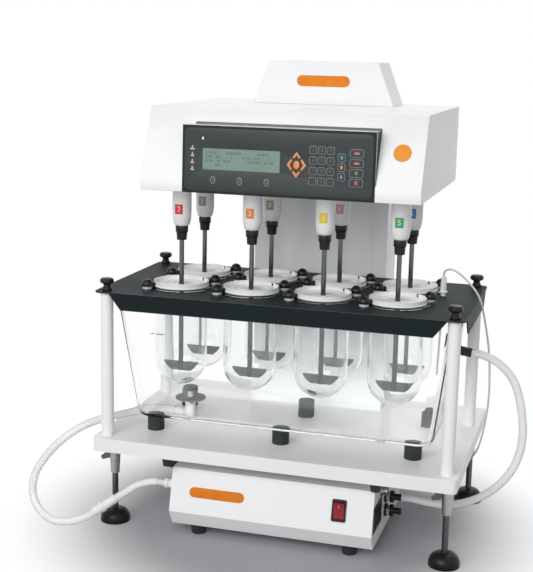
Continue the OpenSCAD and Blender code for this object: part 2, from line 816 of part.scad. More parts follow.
// A box of sheet with two guides for the lift column and two seams down its front
module tower_housing() {
    inner_w = tower_w - 2*sheet;
    inner_d = tower_d - 2*sheet;
    guide_z = tower_top - guide_step - guide_t;
    color(white) difference() {
        translate([-tower_w/2, tower_front, deck_z]) cube([tower_w, tower_d, tower_h]);
        translate([-inner_w/2, tower_front + sheet, deck_z - past])
            cube([inner_w, inner_d, guide_z - deck_z + past]);
        translate([-inner_w/2, tower_front + sheet, guide_z + guide_t])
            cube([inner_w, inner_d, guide_step - guide_t]);
        translate([0, tower_y, guide_z - past])
            cylinder(d = lift_column_d + 2*running, h = guide_step + guide_t + 2*past);
        for (x = [-1, 1])
            translate([x*seam_x - seam_w/2, tower_front - past, deck_z - past])
                cube([seam_w, sheet/2 + past, tower_h + 2*past]);
    }
}

// Steel tube that carries the head, bolted through the head's floor
module lift_column() {
    lift_wall = 4;
    top = floor_top + lift_flange_t;
    low = tower_top - lift_tail;
    color(steel) translate([0, tower_y, 0]) difference() {
        union() {
            translate([0, 0, low]) cylinder(d = lift_column_d, h = top - low);
            translate([0, 0, floor_top]) cylinder(d = lift_flange_d, h = lift_flange_t);
        }
        translate([0, 0, low - past]) cylinder(d = lift_column_d - 2*lift_wall, h = top - low + 2*past);
    }
}

// Folded shell, open below, with an opening under the motor cover
module head_shell() {
    inner = [
        for (p = inset_outline(head_outline, sheet))
            [p[0], p[1] < floor_top + past ? head_z - past : p[1]]];
    color(white) difference() {
        across(head_w, head_outline);
        across(head_w - 2*sheet, inner);
        translate([-motor_hole_w/2, motor_y - motor_hole_d/2, head_top - sheet - past])
            cube([motor_hole_w, motor_hole_d, sheet + 2*past]);
    }
}

module head_floor() {
    front = head_front + sheet;
    color(steel) difference() {
        translate([-head_w/2 + sheet, front, head_z])
            cube([head_w - 2*sheet, base_back - sheet - front, sheet]);
        translate([0, 0, head_z - past]) {
            at_stations() cylinder(d = hub_d + 2*slip, h = sheet + 2*past);
            translate([0, tower_y, 0]) cylinder(d = lift_column_d + 2*slip, h = sheet + 2*past);
        }
    }
}

// Hood over the motor with slanting sides
module motor_cover() {
    outline = [
        [-motor_cover_w/2, head_top], [motor_cover_w/2, head_top],
        [motor_cover_top_w/2, head_top + motor_cover_h], [-motor_cover_top_w/2, head_top + motor_cover_h]];
    inner = [
        for (p = inset_outline(outline, sheet))
            [p[0], p[1] < head_top + 2*sheet ? head_top - past : p[1]]];
    color(white) translate([motor_cover_shift, motor_cover_back, 0]) difference() {
        rotate([90, 0, 0]) linear_extrude(motor_cover_d) polygon(outline);
        translate([0, -sheet, 0]) rotate([90, 0, 0]) linear_extrude(motor_cover_d - 2*sheet) polygon(inner);
    }
}

// Places things on the panel's face: X across, Y up the face, Z out of it
module on_panel() {
    translate([0, (panel_low_y + panel_top_y)/2, panel_z + panel_h/2])
        rotate([90 - panel_tilt, 0, 0]) children();
}

// Wedge-shaped box on the fascia, with a pocket for the display
module panel_housing() {
    outline = [
        [panel_low_y, panel_z], [head_front, panel_z], [head_front, crease_z],
        [fascia_y(panel_top), panel_top], [panel_top_y, panel_top]];
    color(dark) difference() {
        across(panel_w, outline);
        on_panel() translate([window_x - window_w/2 - 2, window_y - window_h/2 - 2, -display_t - air])
            cube([window_w + 4, window_h + 4, display_t + air + past]);
    }
}

// Keys of the membrane pad: round keys, arrows, number block, lift keys and run keys
module key_row(xs, ys, w, h, r) {
    for (x = xs, y = ys)
        translate([x, y]) rounded_outline(w, h, r);
}

module keypad_overlay() {
    face_w = panel_w - 2*overlay_border;
    face_h = panel_h - 2*overlay_border;
    key_h = 14.5;
    run_key_w = 27;
    run_key_x = face_w/2 - 31;
    lift_key_x = run_key_x - 28.5;
    number_step = 17;
    number_x = lift_key_x - 21;
    arrow_x = number_x - 66;
    arrow_y = -2;
    arrow_reach = 16;
    color(dark) on_panel() {
        linear_extrude(overlay_t) difference() {
            rounded_outline(face_w, face_h, overlay_r);
            translate([window_x, window_y]) square([window_w, window_h], center = true);
        }
        translate([0, 0, overlay_t]) linear_extrude(key_t) {
            for (s = [-1, 0, 1])
                translate([window_x + s*window_w*0.346, window_y - window_h/2 - 19.5]) circle(d = 12);
            key_row([for (s = [2, 1, 0]) number_x - s*number_step], [27.5, 8, -11.5, -31], key_h, key_h, 3);
            key_row([lift_key_x], [15.5, -2.5, -20.5], key_h, key_h, 3);
            key_row([run_key_x], [24.5, 6, -12, -30], run_key_w, key_h, 3);
            translate([arrow_x, arrow_y]) circle(d = 13);
            for (a = [0, 90, 180, 270])
                translate([arrow_x, arrow_y]) rotate(a) translate([arrow_reach, 0]) circle(d = 9);
        }
    }
}

// Display behind the overlay's window
module display_module() {
    color([0.55, 0.68, 0.60]) on_panel()
        translate([window_x - window_w/2 - 1.5, window_y - window_h/2 - 1.5, -display_t - air])
            cube([window_w + 3, window_h + 3, display_t]);
}

// Turned hubs that hang from the floor and hold two bearings each
module spindle_hubs() {
    seat_r = bearing_d/2;
    neck_r = spindle_d/2 + air;
    color(white) at_stations() difference() {
        union() {
            rotate_extrude() polygon(concat(
                [[0, hub_top_z], [0, hub_tip_z]],
                [for (a = [0:15:90]) [
                    hub_tip_d/2 + (hub_d - hub_tip_d)/2*sin(a), hub_tip_z + hub_taper_h*(1 - cos(a))]],
                [[hub_d/2, hub_top_z]]));
            translate([0, 0, floor_top]) cylinder(d = hub_flange_d, h = hub_flange_t);
        }
        translate([0, 0, hub_tip_z - past]) cylinder(r = neck_r, h = hub_top_z - hub_tip_z + 2*past);
        translate([0, 0, low_bearing_z]) cylinder(d = hub_bore_d, h = hub_top_z - low_bearing_z + past);
        translate([0, 0, low_bearing_z]) cylinder(r = seat_r, h = bearing_h);
        translate([0, 0, high_bearing_z]) cylinder(r = seat_r, h = hub_top_z - high_bearing_z + past);
    }
}

module spindle_bearings() {
    color(steel) at_stations()
        for (z = [low_bearing_z, high_bearing_z])
            translate([0, 0, z]) difference() {
                cylinder(d = bearing_d, h = bearing_h);
                translate([0, 0, -past]) cylinder(d = spindle_d + 2*running, h = bearing_h + 2*past);
            }
}

// A flanged pulley whose running face starts at z
module pulley(z, d) {
    translate([0, 0, z - pulley_flange_t]) cylinder(d = d + 2*pulley_flange, h = pulley_flange_t);
    translate([0, 0, z - past/2]) cylinder(d = d, h = belt_w + past);
    translate([0, 0, z + belt_w]) cylinder(d = d + 2*pulley_flange, h = pulley_flange_t);
}

// Hollow spindle with its pulley, and the chuck screwed on its lower end
module spindle(i) {
    boss_d = spindle_d + 8;
    boss_z = hub_top_z - 2 + air;
    translate([station(i)[0], station(i)[1], 0]) {
        color(steel) difference() {
            union() {
                translate([0, 0, spindle_z]) cylinder(d = spindle_d, h = spindle_top_z - spindle_z);
                translate([0, 0, boss_z]) cylinder(d = boss_d, h = main_belt_z - boss_z);
                pulley(main_belt_z, pulley_d);
                if (i == driven_station) pulley(motor_belt_z, pulley_d);
            }
            translate([0, 0, spindle_z - past])
                cylinder(d = spindle_bore_d, h = spindle_top_z - spindle_z + 2*past);
        }
        color(black) difference() {
            translate([0, 0, chuck_z]) cylinder(d1 = chuck_tip_d, d2 = chuck_d, h = chuck_h);
            translate([0, 0, chuck_z - past]) cylinder(d = spindle_bore_d, h = chuck_h + 2*past);
            translate([0, 0, spindle_z - slip]) cylinder(d = spindle_d + 2*slip, h = spindle_grip + 2*past);
        }
    }
}

// Shaft with its blade across the lower end
module paddle(i) {
    round_y = sqrt(blade_r*blade_r - blade_low_w*blade_low_w/4);
    color(steel) translate([station(i)[0], station(i)[1], blade_z]) {
        cylinder(d = shaft_d, h = shaft_top_z - blade_z);
        translate([0, blade_t/2, 0]) rotate([90, 0, 0]) linear_extrude(blade_t) intersection() {
            translate([-blade_w/2, 0]) square([blade_w, blade_h]);
            translate([0, round_y]) circle(r = blade_r, $fn = 96);
        }
    }
}

// Motor on its bracket, which stands on four posts on the head's floor
module drive_motor() {
    bracket_w = 2*motor_post_dx + 2*motor_post_d;
    bracket_d = 2*motor_post_dy + 2*motor_post_d;
    color([0.25, 0.26, 0.28]) translate([0, motor_y, 0]) difference() {
        union() {
            translate([0, 0, motor_z]) cylinder(d = motor_d, h = motor_h);
            translate([-bracket_w/2, -bracket_d/2, motor_bracket_z])
                cube([bracket_w, bracket_d, motor_bracket_t]);
            for (x = [-1, 1], y = [-1, 1])
                translate([x*motor_post_dx, y*motor_post_dy, floor_top])
                    cylinder(d = motor_post_d, h = motor_bracket_z - floor_top + past);
        }
        translate([0, 0, motor_bracket_z - past])
            cylinder(d = motor_shaft_d + 2*running, h = motor_bracket_t + motor_h/2);
    }
}

module motor_pulley() {
    shaft_top = motor_bracket_z + motor_bracket_t + motor_h/2 - 4;
    color(steel) translate([0, motor_y, 0]) {
        pulley(motor_belt_z, motor_pulley_d);
        translate([0, 0, motor_belt_z]) cylinder(d = motor_shaft_d, h = shaft_top - motor_belt_z);
    }
}

// Main belt round all eight pulleys, and the short belt from the motor
module drive_belts() {
    run = pulley_d/2 + belt_air;
    grid_w = 3*vessel_pitch;
    driven = station(driven_station);
    color(black) {
        translate([0, stage_y, main_belt_z + air]) linear_extrude(belt_w - 2*air) difference() {
            rounded_outline(grid_w + 2*run + 2*belt_t, row_gap + 2*run + 2*belt_t, run + belt_t);
            rounded_outline(grid_w + 2*run, row_gap + 2*run, run);
        }
        translate([0, 0, motor_belt_z + air]) linear_extrude(belt_w - 2*air) difference() {
            belt_loop(driven, belt_air + belt_t);
            belt_loop(driven, belt_air);
        }
    }
}

module belt_loop(driven, out) {
    hull() {
        translate(driven) circle(d = pulley_d + 2*out, $fn = 96);
        translate([0, motor_y]) circle(d = motor_pulley_d + 2*out, $fn = 96);
    }
}

// Folded case with a switch opening, a vent opening and holes for its ports
module circulator_case() {
    hw = circ_w/2;
    color(white) difference() {
        across(circ_w, circ_outline);
        across(circ_w - 2*sheet, inset_outline(circ_outline, sheet));
        on_switch() translate([-switch_body_w/2 - slip, -switch_body_h/2 - slip, -3*sheet])
            cube([switch_body_w + 2*slip, switch_body_h + 2*slip, 6*sheet]);
        translate([hw - sheet - past, vent_y, vent_z]) cube([sheet + 2*past, vent_l, vent_h]);
        for (p = [[right_port_y, right_port_z], [right_port_y, spare_port_z],
                  [socket_y, socket_z], [gland_y, gland_z]])
            translate([hw - sheet - past, p[0], p[1]]) rotate([0, 90, 0])
                cylinder(d = port_hole_d + 2*slip, h = sheet + 2*past);
        translate([-hw - past, left_port_y, left_port_z]) rotate([0, 90, 0])
            cylinder(d = port_hole_d + 2*slip, h = sheet + 2*past);
    }
}

// Pump with its motor and heater body, standing on the case's floor
module circulator_pump() {
    motor_l = 130;
    head_l = 34;
    heater_l = 150;
    stand_w = 60;
    heater_y = pump_y + 75;
    stand_low = circ_z + sheet;
    color(steel) {
        translate([-motor_l/2, pump_y, pump_z]) rotate([0, 90, 0]) cylinder(r = pump_r - 6, h = motor_l);
        translate([motor_l/2 - past, pump_y, pump_z]) rotate([0, 90, 0]) cylinder(r = pump_r, h = head_l);
        translate([-heater_l/2, heater_y, pump_z]) rotate([0, 90, 0]) cylinder(r = pump_r - 12, h = heater_l);
        translate([-stand_w/2, pump_y - stand_w/2, stand_low])
            cube([stand_w, heater_y - pump_y + stand_w, pump_z - stand_low]);
    }
}

// Places things on the middle of the case's leaning front: X across, Y up the face, Z out of it
module on_switch() {
    mid = (circ_crease_z + circ_top)/2;
    translate([switch_x, circ_front + circ_lean/2, mid]) rotate([90 - circ_tilt, 0, 0]) children();
}

module switch_frame() {
    color(black) on_switch() difference() {
        union() {
            linear_extrude(switch_bezel_t) rounded_outline(switch_w, switch_h, 3);
            translate([-switch_body_w/2, -switch_body_h/2, -switch_body_t])
                cube([switch_body_w, switch_body_h, switch_body_t + past]);
        }
        translate([-switch_well_w/2, -switch_well_h/2, -switch_body_t + 3])
            cube([switch_well_w, switch_well_h, switch_body_t + switch_bezel_t]);
        translate([-switch_body_w/2 - past, 0, 0]) rotate([0, 90, 0])
            cylinder(d = rocker_pin_d + 2*running, h = switch_body_w + 2*past);
    }
}

// Rocker that tips on two pins in the frame, shown with its upper end out
module power_rocker() {
    pin_l = switch_well_w + 2;
    color([0.75, 0.10, 0.08]) on_switch() {
        rotate([rocker_tilt, 0, 0]) across(rocker_w, [
            [-rocker_h/2, -4], [rocker_h/2, -4], [rocker_h/2, 4.5], [0, 2.5], [-rocker_h/2, 4.5]]);
        translate([-pin_l/2, 0, 0]) rotate([0, 90, 0]) cylinder(d = rocker_pin_d, h = pin_l);
    }
}

// A hose port through the case's side along +Z: flange, hexagon, union ring and hose tail
module port(flange_d) {
    translate([0, 0, -sheet - 6]) cylinder(d = port_hole_d, h = sheet + 7);
    cylinder(d = flange_d, h = 5);
    translate([0, 0, 4]) cylinder(d = flange_d - 5, h = 8, $fn = 6);
    translate([0, 0, 11]) cylinder(d = flange_d - 2, h = 7);
    translate([0, 0, 17]) barb(barb_l - 17);
}

// Round cable socket with a screwed ring
module socket() {
    translate([0, 0, -sheet - 6]) cylinder(d = port_hole_d, h = sheet + 7);
    cylinder(d = 22, h = 4);
    difference() {
        translate([0, 0, 3]) cylinder(d = 18, h = 11);
        translate([0, 0, 10]) cylinder(d = 13, h = 5);
    }
}

// Slotted vent that is pushed into its opening from the right, with a rim on the case
module vent() {
    rim = 2.5;
    slot_step = (vent_l - 4)/vent_slots;
    difference() {
        union() {
            translate([0, -rim, -rim]) cube([1.5, vent_l + 2*rim, vent_h + 2*rim]);
            translate([-sheet - 2, slip, slip]) cube([sheet + 3, vent_l - 2*slip, vent_h - 2*slip]);
        }
        for (i = [0:vent_slots - 1])
            translate([-sheet - 3, 2 + (i + 0.2)*slot_step, 4]) cube([sheet + 6, slot_step*0.6, vent_h - 8]);
    }
}

// Hose ports, cable socket, vent and cable gland in the case's sides
module circulator_ports() {
    hw = circ_w/2;
    color(steel) {
        for (z = [right_port_z, spare_port_z])
            translate([hw, right_port_y, z]) rotate([0, 90, 0]) port(27);
        translate([-hw, left_port_y, left_port_z]) rotate([0, -90, 0]) port(22);
        translate([hw, socket_y, socket_z]) rotate([0, 90, 0]) socket();
    }
    color(black) translate([hw, vent_y, vent_z]) vent();
    color(black) translate([hw, gland_y, gland_z]) rotate([0, 90, 0]) {
        translate([0, 0, -sheet - 4]) cylinder(d = port_hole_d, h = sheet + 5);
        cylinder(d = 16, h = 6);
        translate([0, 0, 6]) cylinder(d1 = 12, d2 = cable_d + 2, h = gland_l - 6);
    }
}

// Hose from the circulator's left port to the inlet under the bath
module supply_hose() {
    color(milky) tube(supply_route, hose_d, hose_sides);
}

// Hose from the bath's outlet to the circulator's right port
module return_hose() {
    color(milky) tube(return_route, hose_d, hose_sides);
}

// Sleeve that joins the supply hose's two lengths
module hose_coupling() {
    way = unit(coupling_to - coupling_from);
    l = norm(coupling_to - coupling_from) - 2*coupling_in;
    collar_l = 8;
    color(white) translate(coupling_from + coupling_in*way)
        rotate([0, acos(way[2]), atan2(way[1], way[0])]) difference() {
            union() {
                cylinder(d = coupling_d - 2, h = l);
                translate([0, 0, l*0.32]) cylinder(d = coupling_d + 2, h = collar_l);
            }
            translate([0, 0, -past]) cylinder(d = hose_d + 2*slip, h = l + 2*past);
        }
}

// Probe body on the plate, with its steel rod in the bath's water
module temperature_probe() {
    flange_up = 7;
    color(white) translate([probe_x, probe_y, plate_z]) {
        cylinder(d = probe_d - 3, h = flange_up + past);
        translate([0, 0, flange_up]) cylinder(d = probe_flange_d, h = 3);
        translate([0, 0, flange_up]) cylinder(d1 = probe_d, d2 = probe_d - 2, h = probe_body_h - flange_up);
        translate([0, 0, -probe_rod_l]) cylinder(d = probe_rod_d, h = probe_rod_l + past);
    }
}

module probe_cable() {
    color([0.75, 0.76, 0.76]) tube(cable_route, cable_d, cable_sides);
}

base_plate();
levelling_foot(-1, -1);  // levelling_foot_fl
levelling_foot(1, -1);  // levelling_foot_fr
levelling_foot(-1, 1);  // levelling_foot_bl
levelling_foot(1, 1);  // levelling_foot_br
support_columns();
vessel_plate();
corner_knobs();
vessel_clamps();
vessels();
water_bath();
bath_fittings();
rubber_feet();
tower_housing();
lift_column();
head_shell();
head_floor();
motor_cover();
panel_housing();
keypad_overlay();
display_module();
spindle_hubs();
spindle_bearings();
drive_motor();
motor_pulley();
drive_belts();
circulator_case();
circulator_pump();
switch_frame();
power_rocker();
circulator_ports();
supply_hose();
return_hose();
hose_coupling();
temperature_probe();
probe_cable();
for (i = [1:8]) spindle(i);
for (i = [1:8]) paddle(i);
for (i = [1:8]) vessel_cover(i);
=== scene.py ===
import math

import bmesh
import bpy
from mathutils import Matrix, Vector


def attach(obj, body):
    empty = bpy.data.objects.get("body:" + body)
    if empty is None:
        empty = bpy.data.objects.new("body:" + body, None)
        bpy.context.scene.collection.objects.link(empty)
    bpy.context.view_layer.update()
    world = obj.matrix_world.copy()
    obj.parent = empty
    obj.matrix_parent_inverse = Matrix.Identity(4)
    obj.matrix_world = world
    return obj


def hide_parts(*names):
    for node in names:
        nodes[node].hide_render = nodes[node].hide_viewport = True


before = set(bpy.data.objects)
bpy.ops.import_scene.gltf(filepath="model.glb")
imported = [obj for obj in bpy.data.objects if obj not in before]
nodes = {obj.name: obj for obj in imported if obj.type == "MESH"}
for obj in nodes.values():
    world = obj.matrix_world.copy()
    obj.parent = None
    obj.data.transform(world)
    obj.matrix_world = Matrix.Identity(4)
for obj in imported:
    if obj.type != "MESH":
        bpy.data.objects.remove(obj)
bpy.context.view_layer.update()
scene = bpy.context.scene
scene.view_settings.view_transform = "Standard"

# ---- Camera ----
# The viewpoint: a long lens in front of the right half of the tester, a little above the
# head, looking down and to the left, as solved from the base, plate and column corners.
IMAGE_HEIGHT = 572
FOCAL_PIXELS = 1196.77
CAMERA_AT = (0.6225, -2.392, 0.9955)
TURNED_LEFT, TIPPED_DOWN, ROLLED = 16.35, 11.426, 1.197
yaw, pitch, roll = (math.radians(a) for a in (TURNED_LEFT, TIPPED_DOWN, ROLLED))
look = Vector((-math.sin(yaw) * math.cos(pitch), math.cos(yaw) * math.cos(pitch), -math.sin(pitch)))
level = Vector((math.cos(yaw), math.sin(yaw), 0))
right = math.cos(roll) * level + math.sin(roll) * level.cross(look)
upright = right.cross(look)
viewpoint = bpy.data.cameras.new("viewpoint")
viewpoint.sensor_width = 36
viewpoint.lens = FOCAL_PIXELS * viewpoint.sensor_width / IMAGE_HEIGHT
viewpoint.clip_end = 60
camera = bpy.data.objects.new("viewpoint", viewpoint)
camera.matrix_world = Matrix.Translation(CAMERA_AT) @ Matrix(
    (right, upright, -look)).transposed().to_4x4()
scene.collection.objects.link(camera)
scene.camera = camera

# ---- Floor and studio light ----
# A sweep of floor painted grey near the machine as painted shade, fading into a white surround
# further out, under a large soft box from the front left, a weaker one from the right and a broad
# one overhead.
FILL_STRENGTH = 0.40
FLOOR_RADIUS, FLOOR_AT = 14, (0, -0.05, -0.0005)
FLOOR_DARK, FLOOR_LIGHT = (0.42, 0.408, 0.43, 1), (0.46, 0.448, 0.47, 1)
SHADE_FADE_START, SHADE_FADE_END = 0.29, 0.62


def add(tree, kind, feeds=(), **settings):
    """Adds a shader node with its settings, links and values."""
    node = tree.nodes.new("ShaderNode" + kind)
    for key, value in settings.items():
        setattr(node, key, value)
    for socket, value in dict(feeds).items():
        if isinstance(value, bpy.types.NodeSocket):
            tree.links.new(value, node.inputs[socket])
        else:
            node.inputs[socket].default_value = value
    return node


def seen_as_background(tree):
    path = add(tree, "LightPath")
    seen = add(tree, "Math", {0: path.outputs["Is Camera Ray"], 1: path.outputs["Is Glossy Ray"]},
               operation="MAXIMUM")
    return add(tree, "Math", {0: seen.outputs[0], 1: path.outputs["Is Transmission Ray"]},
               operation="MAXIMUM").outputs[0]


studio = bpy.data.worlds.new("studio")
scene.world = studio
studio.use_nodes = True
studio.node_tree.nodes.clear()
fill_light = add(studio.node_tree, "Background",
                 {"Color": (0.96, 0.98, 1, 1), "Strength": FILL_STRENGTH})
white_surround = add(studio.node_tree, "Background", {"Color": (1, 1, 1, 1), "Strength": 1})
surround = add(studio.node_tree, "MixShader", {
    0: seen_as_background(studio.node_tree), 1: fill_light.outputs[0],
    2: white_surround.outputs[0]})
add(studio.node_tree, "OutputWorld", {"Surface": surround.outputs[0]})

floor_paint = bpy.data.materials.new("floor_paint")
floor_paint.use_nodes = True
floor_paint.cycles.emission_sampling = "NONE"  # its white is only seen, it lights nothing
tree = floor_paint.node_tree
tree.nodes.clear()
place = add(tree, "TexCoord").outputs["Object"]
reach = add(tree, "VectorMath", {0: place}, operation="LENGTH")
# Painted shade: the matt floor is grey near the machine and fades to white with distance from it.
fade = add(tree, "MapRange", {"Value": reach.outputs["Value"], "From Min": SHADE_FADE_START,
                              "From Max": SHADE_FADE_END}, interpolation_type="SMOOTHSTEP")
fade_seen = add(tree, "Math", {0: fade.outputs[0], 1: seen_as_background(tree)},
                operation="MULTIPLY")
mottle = add(tree, "TexNoise", {"Vector": place, "Scale": 3, "Detail": 2})
floor_tone = add(tree, "Mix", {0: mottle.outputs[0], 6: FLOOR_DARK, 7: FLOOR_LIGHT},
                 data_type="RGBA")
painted_shade_floor = add(tree, "BsdfPrincipled", {"Base Color": floor_tone.outputs[2], "Roughness": 0.7,
                                          "Specular IOR Level": 0.1})
white_floor = add(tree, "Emission", {"Color": (1, 1, 1, 1), "Strength": 1})
floor_mix = add(tree, "MixShader", {0: fade_seen.outputs[0], 1: painted_shade_floor.outputs[0],
                                    2: white_floor.outputs[0]})
add(tree, "OutputMaterial", {"Surface": floor_mix.outputs[0]})
bm = bmesh.new()
bmesh.ops.create_circle(bm, cap_ends=True, segments=96, radius=FLOOR_RADIUS)
floor_mesh = bpy.data.meshes.new("floor")
bm.to_mesh(floor_mesh)
bm.free()
floor_mesh.materials.append(floor_paint)
floor = bpy.data.objects.new("floor", floor_mesh)
floor.location = FLOOR_AT
scene.collection.objects.link(floor)

for name, at, aim, size, power in (
        ("soft_box_front", (-0.45, -3.0, 1.75), (0, 0, 0.4), (2.6, 1.8), 62),
        ("soft_box_right", (2.8, -1.2, 1.5), (0, 0, 0.5), (1.4, 1.8), 2),
        ("soft_box_over", (0.1, 1.1, 3.0), (0, 0.1, 0.6), (2.4, 1.8), 31)):
    light = bpy.data.lights.new(name, "AREA")
    light.shape = "RECTANGLE"
    light.size, light.size_y = size
    light.energy = power
    lamp = bpy.data.objects.new(name, light)
    lamp.location = at
    lamp.rotation_euler = (Vector(aim) - Vector(at)).to_track_quat("-Z", "Y").to_euler()
    lamp.visible_camera = False
    scene.collection.objects.link(lamp)
# Enough bounces to see through the bath and the vessels in it.
scene.cycles.max_bounces = 32
scene.cycles.transmission_bounces = 28
scene.cycles.transparent_max_bounces = 32
scene.cycles.glossy_bounces = 6
scene.cycles.diffuse_bounces = 4

# ---- Hoses and probe cable ----
# Clear soft tubing pushed over the ribbed tails: the supply from the circulator's left port
# to the inlet under the bath, joined by a white sleeve, and the return from the bath's outlet.
# The probe's thin grey cable hangs over the plate's edge to its gland.
MM = 0.001
HOSE_D, CABLE_D = 0.016, 0.004
TUBE_STEPS = 8
GRAIN_DEPTH = 0.0004


def node_group(name, inputs):
    """Starts a group that gives a colour, a roughness and a height."""
    group = bpy.data.node_groups.new(name, "ShaderNodeTree")
    for label, kind in inputs:
        group.interface.new_socket(label, in_out="INPUT", socket_type="NodeSocket" + kind)
    for label, kind in (("Color", "Color"), ("Roughness", "Float"), ("Height", "Float")):
        group.interface.new_socket(label, in_out="OUTPUT", socket_type="NodeSocket" + kind)
    given = group.nodes.new("NodeGroupInput").outputs
    return group, given, group.nodes.new("NodeGroupOutput").inputs


def uneven_sheen(group, given, source, middle):
    """A roughness that strays from the given one as source strays from its middle."""
    stray = add(group, "Math", {0: source.outputs[0], 1: middle}, operation="SUBTRACT")
    return add(group, "Math", {0: stray.outputs[0], 1: given["Spread"], 2: given["Roughness"]},
               operation="MULTIPLY_ADD")


def give(group, gives, tone, sheen, relief):
    for source, socket in ((tone.outputs[2], "Color"), (sheen.outputs[0], "Roughness"),
                           (relief.outputs[0], "Height")):
        group.links.new(source, gives[socket])


moulded_skin, given, gives = node_group("moulded_skin", [
    ("Color", "Color"), ("Tint", "Color"), ("Cloud Scale", "Float"), ("Roughness", "Float"),
    ("Spread", "Float"), ("Grain Scale", "Float")])
place = add(moulded_skin, "TexCoord").outputs["Object"]
cloud = add(moulded_skin, "TexNoise", {"Vector": place, "Scale": given["Cloud Scale"], "Detail": 3})
clouded = add(moulded_skin, "MapRange", {"Value": cloud.outputs[0], "From Min": 0.38,
                                         "From Max": 0.66})
skin_tone = add(moulded_skin, "Mix", {0: clouded.outputs[0], 6: given["Color"], 7: given["Tint"]},
                data_type="RGBA")
sheen = uneven_sheen(moulded_skin, given, cloud, 0.5)
grain = add(moulded_skin, "TexNoise", {"Vector": place, "Scale": given["Grain Scale"], "Detail": 2})
give(moulded_skin, gives, skin_tone, sheen, grain)


def finish(name, plain, effect, values, bump=0.0):
    material = bpy.data.materials.new(name)
    material.use_nodes = True
    tree = material.node_tree
    shader = tree.nodes["Principled BSDF"]
    for socket, value in plain.items():
        shader.inputs[socket].default_value = value
    surface = add(tree, "Group", node_tree=effect)
    for label, value in values.items():
        socket = surface.inputs[label]
        socket.default_value = (*value, 1) if socket.type == "RGBA" else value
    tree.links.new(surface.outputs["Color"], shader.inputs["Base Color"])
    tree.links.new(surface.outputs["Roughness"], shader.inputs["Roughness"])
    if bump:
        relief = add(tree, "Bump", {"Strength": bump, "Distance": GRAIN_DEPTH,
                                    "Height": surface.outputs["Height"]})
        tree.links.new(relief.outputs[0], shader.inputs["Normal"])
    return material


def let_light_through(material, tint):
    """Lets shadow rays pass with a tint, so that the inside isn't in full shade."""
    tree = material.node_tree
    path = add(tree, "LightPath")
    clear = add(tree, "BsdfTransparent", {"Color": (*tint, 1)})
    mix = add(tree, "MixShader", {0: path.outputs["Is Shadow Ray"],
                                  1: tree.nodes["Principled BSDF"].outputs[0], 2: clear.outputs[0]})
    tree.links.new(mix.outputs[0], tree.nodes["Material Output"].inputs["Surface"])
    return material


def smooth_route(points, steps=5):
    """A smooth line, in metres, through points in mm."""
    route = [Vector(p) * MM for p in points]
    line = []
    for i in range(len(route) - 1):
        a, b = route[max(i - 1, 0)], route[i]
        c, d = route[i + 1], route[min(i + 2, len(route) - 1)]
        for k in range(steps):
            t = k / steps
            line.append(0.5 * (2 * b + (c - a) * t + (2 * a - 5 * b + 4 * c - d) * t * t
                               + (3 * b - a - 3 * c + d) * t ** 3))
    return line + [route[-1]]


def cord(name, points, diameter, material):
    line = smooth_route(points)
    curve = bpy.data.curves.new(name, "CURVE")
    curve.dimensions = "3D"
    curve.bevel_depth = diameter / 2
    curve.bevel_resolution = TUBE_STEPS
    curve.use_fill_caps = True
    spline = curve.splines.new("POLY")
    spline.points.add(len(line) - 1)
    for point, at in zip(spline.points, line):
        point.co = (*at, 1)
    spline.use_smooth = True
    curve.materials.append(material)
    piece = bpy.data.objects.new(name, curve)
    scene.collection.objects.link(piece)
    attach(piece, "root")
    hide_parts(name.removeprefix("soft_"))


clear_tubing = let_light_through(finish(
    "clear_tubing", {"Transmission Weight": 0.3, "IOR": 1.38, "Coat Weight": 0.2,
                     "Coat Roughness": 0.1}, moulded_skin,
    {"Color": (0.93, 0.935, 0.935), "Tint": (0.89, 0.90, 0.90), "Cloud Scale": 30,
     "Roughness": 0.35, "Spread": 0.1, "Grain Scale": 500}), (0.75, 0.76, 0.76))
tree = clear_tubing.node_tree
# Darker towards the tube's edges: partly the denser clear wall seen edge-on, partly painted shade
# along the outline.
wall = add(tree, "LayerWeight", {"Blend": 0.5})
edge_darkening = add(tree, "MapRange", {"Value": wall.outputs["Facing"], "From Min": 0.42,
                               "From Max": 0.85})
wall_and_edge_shade = add(tree, "Mix", {0: edge_darkening.outputs[0], 6: tree.nodes["Group"].outputs["Color"],
                                 7: (0.26, 0.28, 0.28, 1)}, data_type="RGBA")
tree.links.new(wall_and_edge_shade.outputs[2], tree.nodes["Principled BSDF"].inputs["Base Color"])
cord("soft_supply_hose", [
    (-264, -50, 214), (-286, -50, 214), (-308, -56, 213), (-330, -72, 212), (-351, -96, 211),
    (-371, -123, 210), (-393, -147, 207), (-419, -167, 199), (-447, -182, 182), (-474, -194, 159),
    (-498, -206, 130), (-516, -217, 97), (-519, -228, 64), (-508, -238, 38), (-487, -246, 19),
    (-458, -252, 9), (-425, -250, 11), (-399, -246, 19), (-376, -239, 32), (-352, -230, 49),
    (-328, -221, 66), (-295, -209, 90), (-274, -203, 99), (-256, -201, 103), (-245, -201, 103)],
    HOSE_D, clear_tubing)
cord("soft_return_hose", [
    (367, -60, 402), (387, -60, 399.5), (407, -61, 393), (426, -62, 382), (444, -63, 365),
    (458, -65, 342), (468, -67, 312), (474, -69, 280), (477, -70, 248), (474, -73, 212),
    (463, -75, 178), (446, -77, 150), (423, -80, 126), (394, -83, 106), (362, -86, 93),
    (328, -88, 87), (295, -90, 89), (267, -90, 92), (245, -90, 92)],
    HOSE_D, clear_tubing)
cable_sheath = finish(
    "cable_sheath", {}, moulded_skin,
    {"Color": (0.66, 0.67, 0.67), "Tint": (0.58, 0.59, 0.59), "Cloud Scale": 40,
     "Roughness": 0.45, "Spread": 0.15, "Grain Scale": 1500}, bump=0.05)
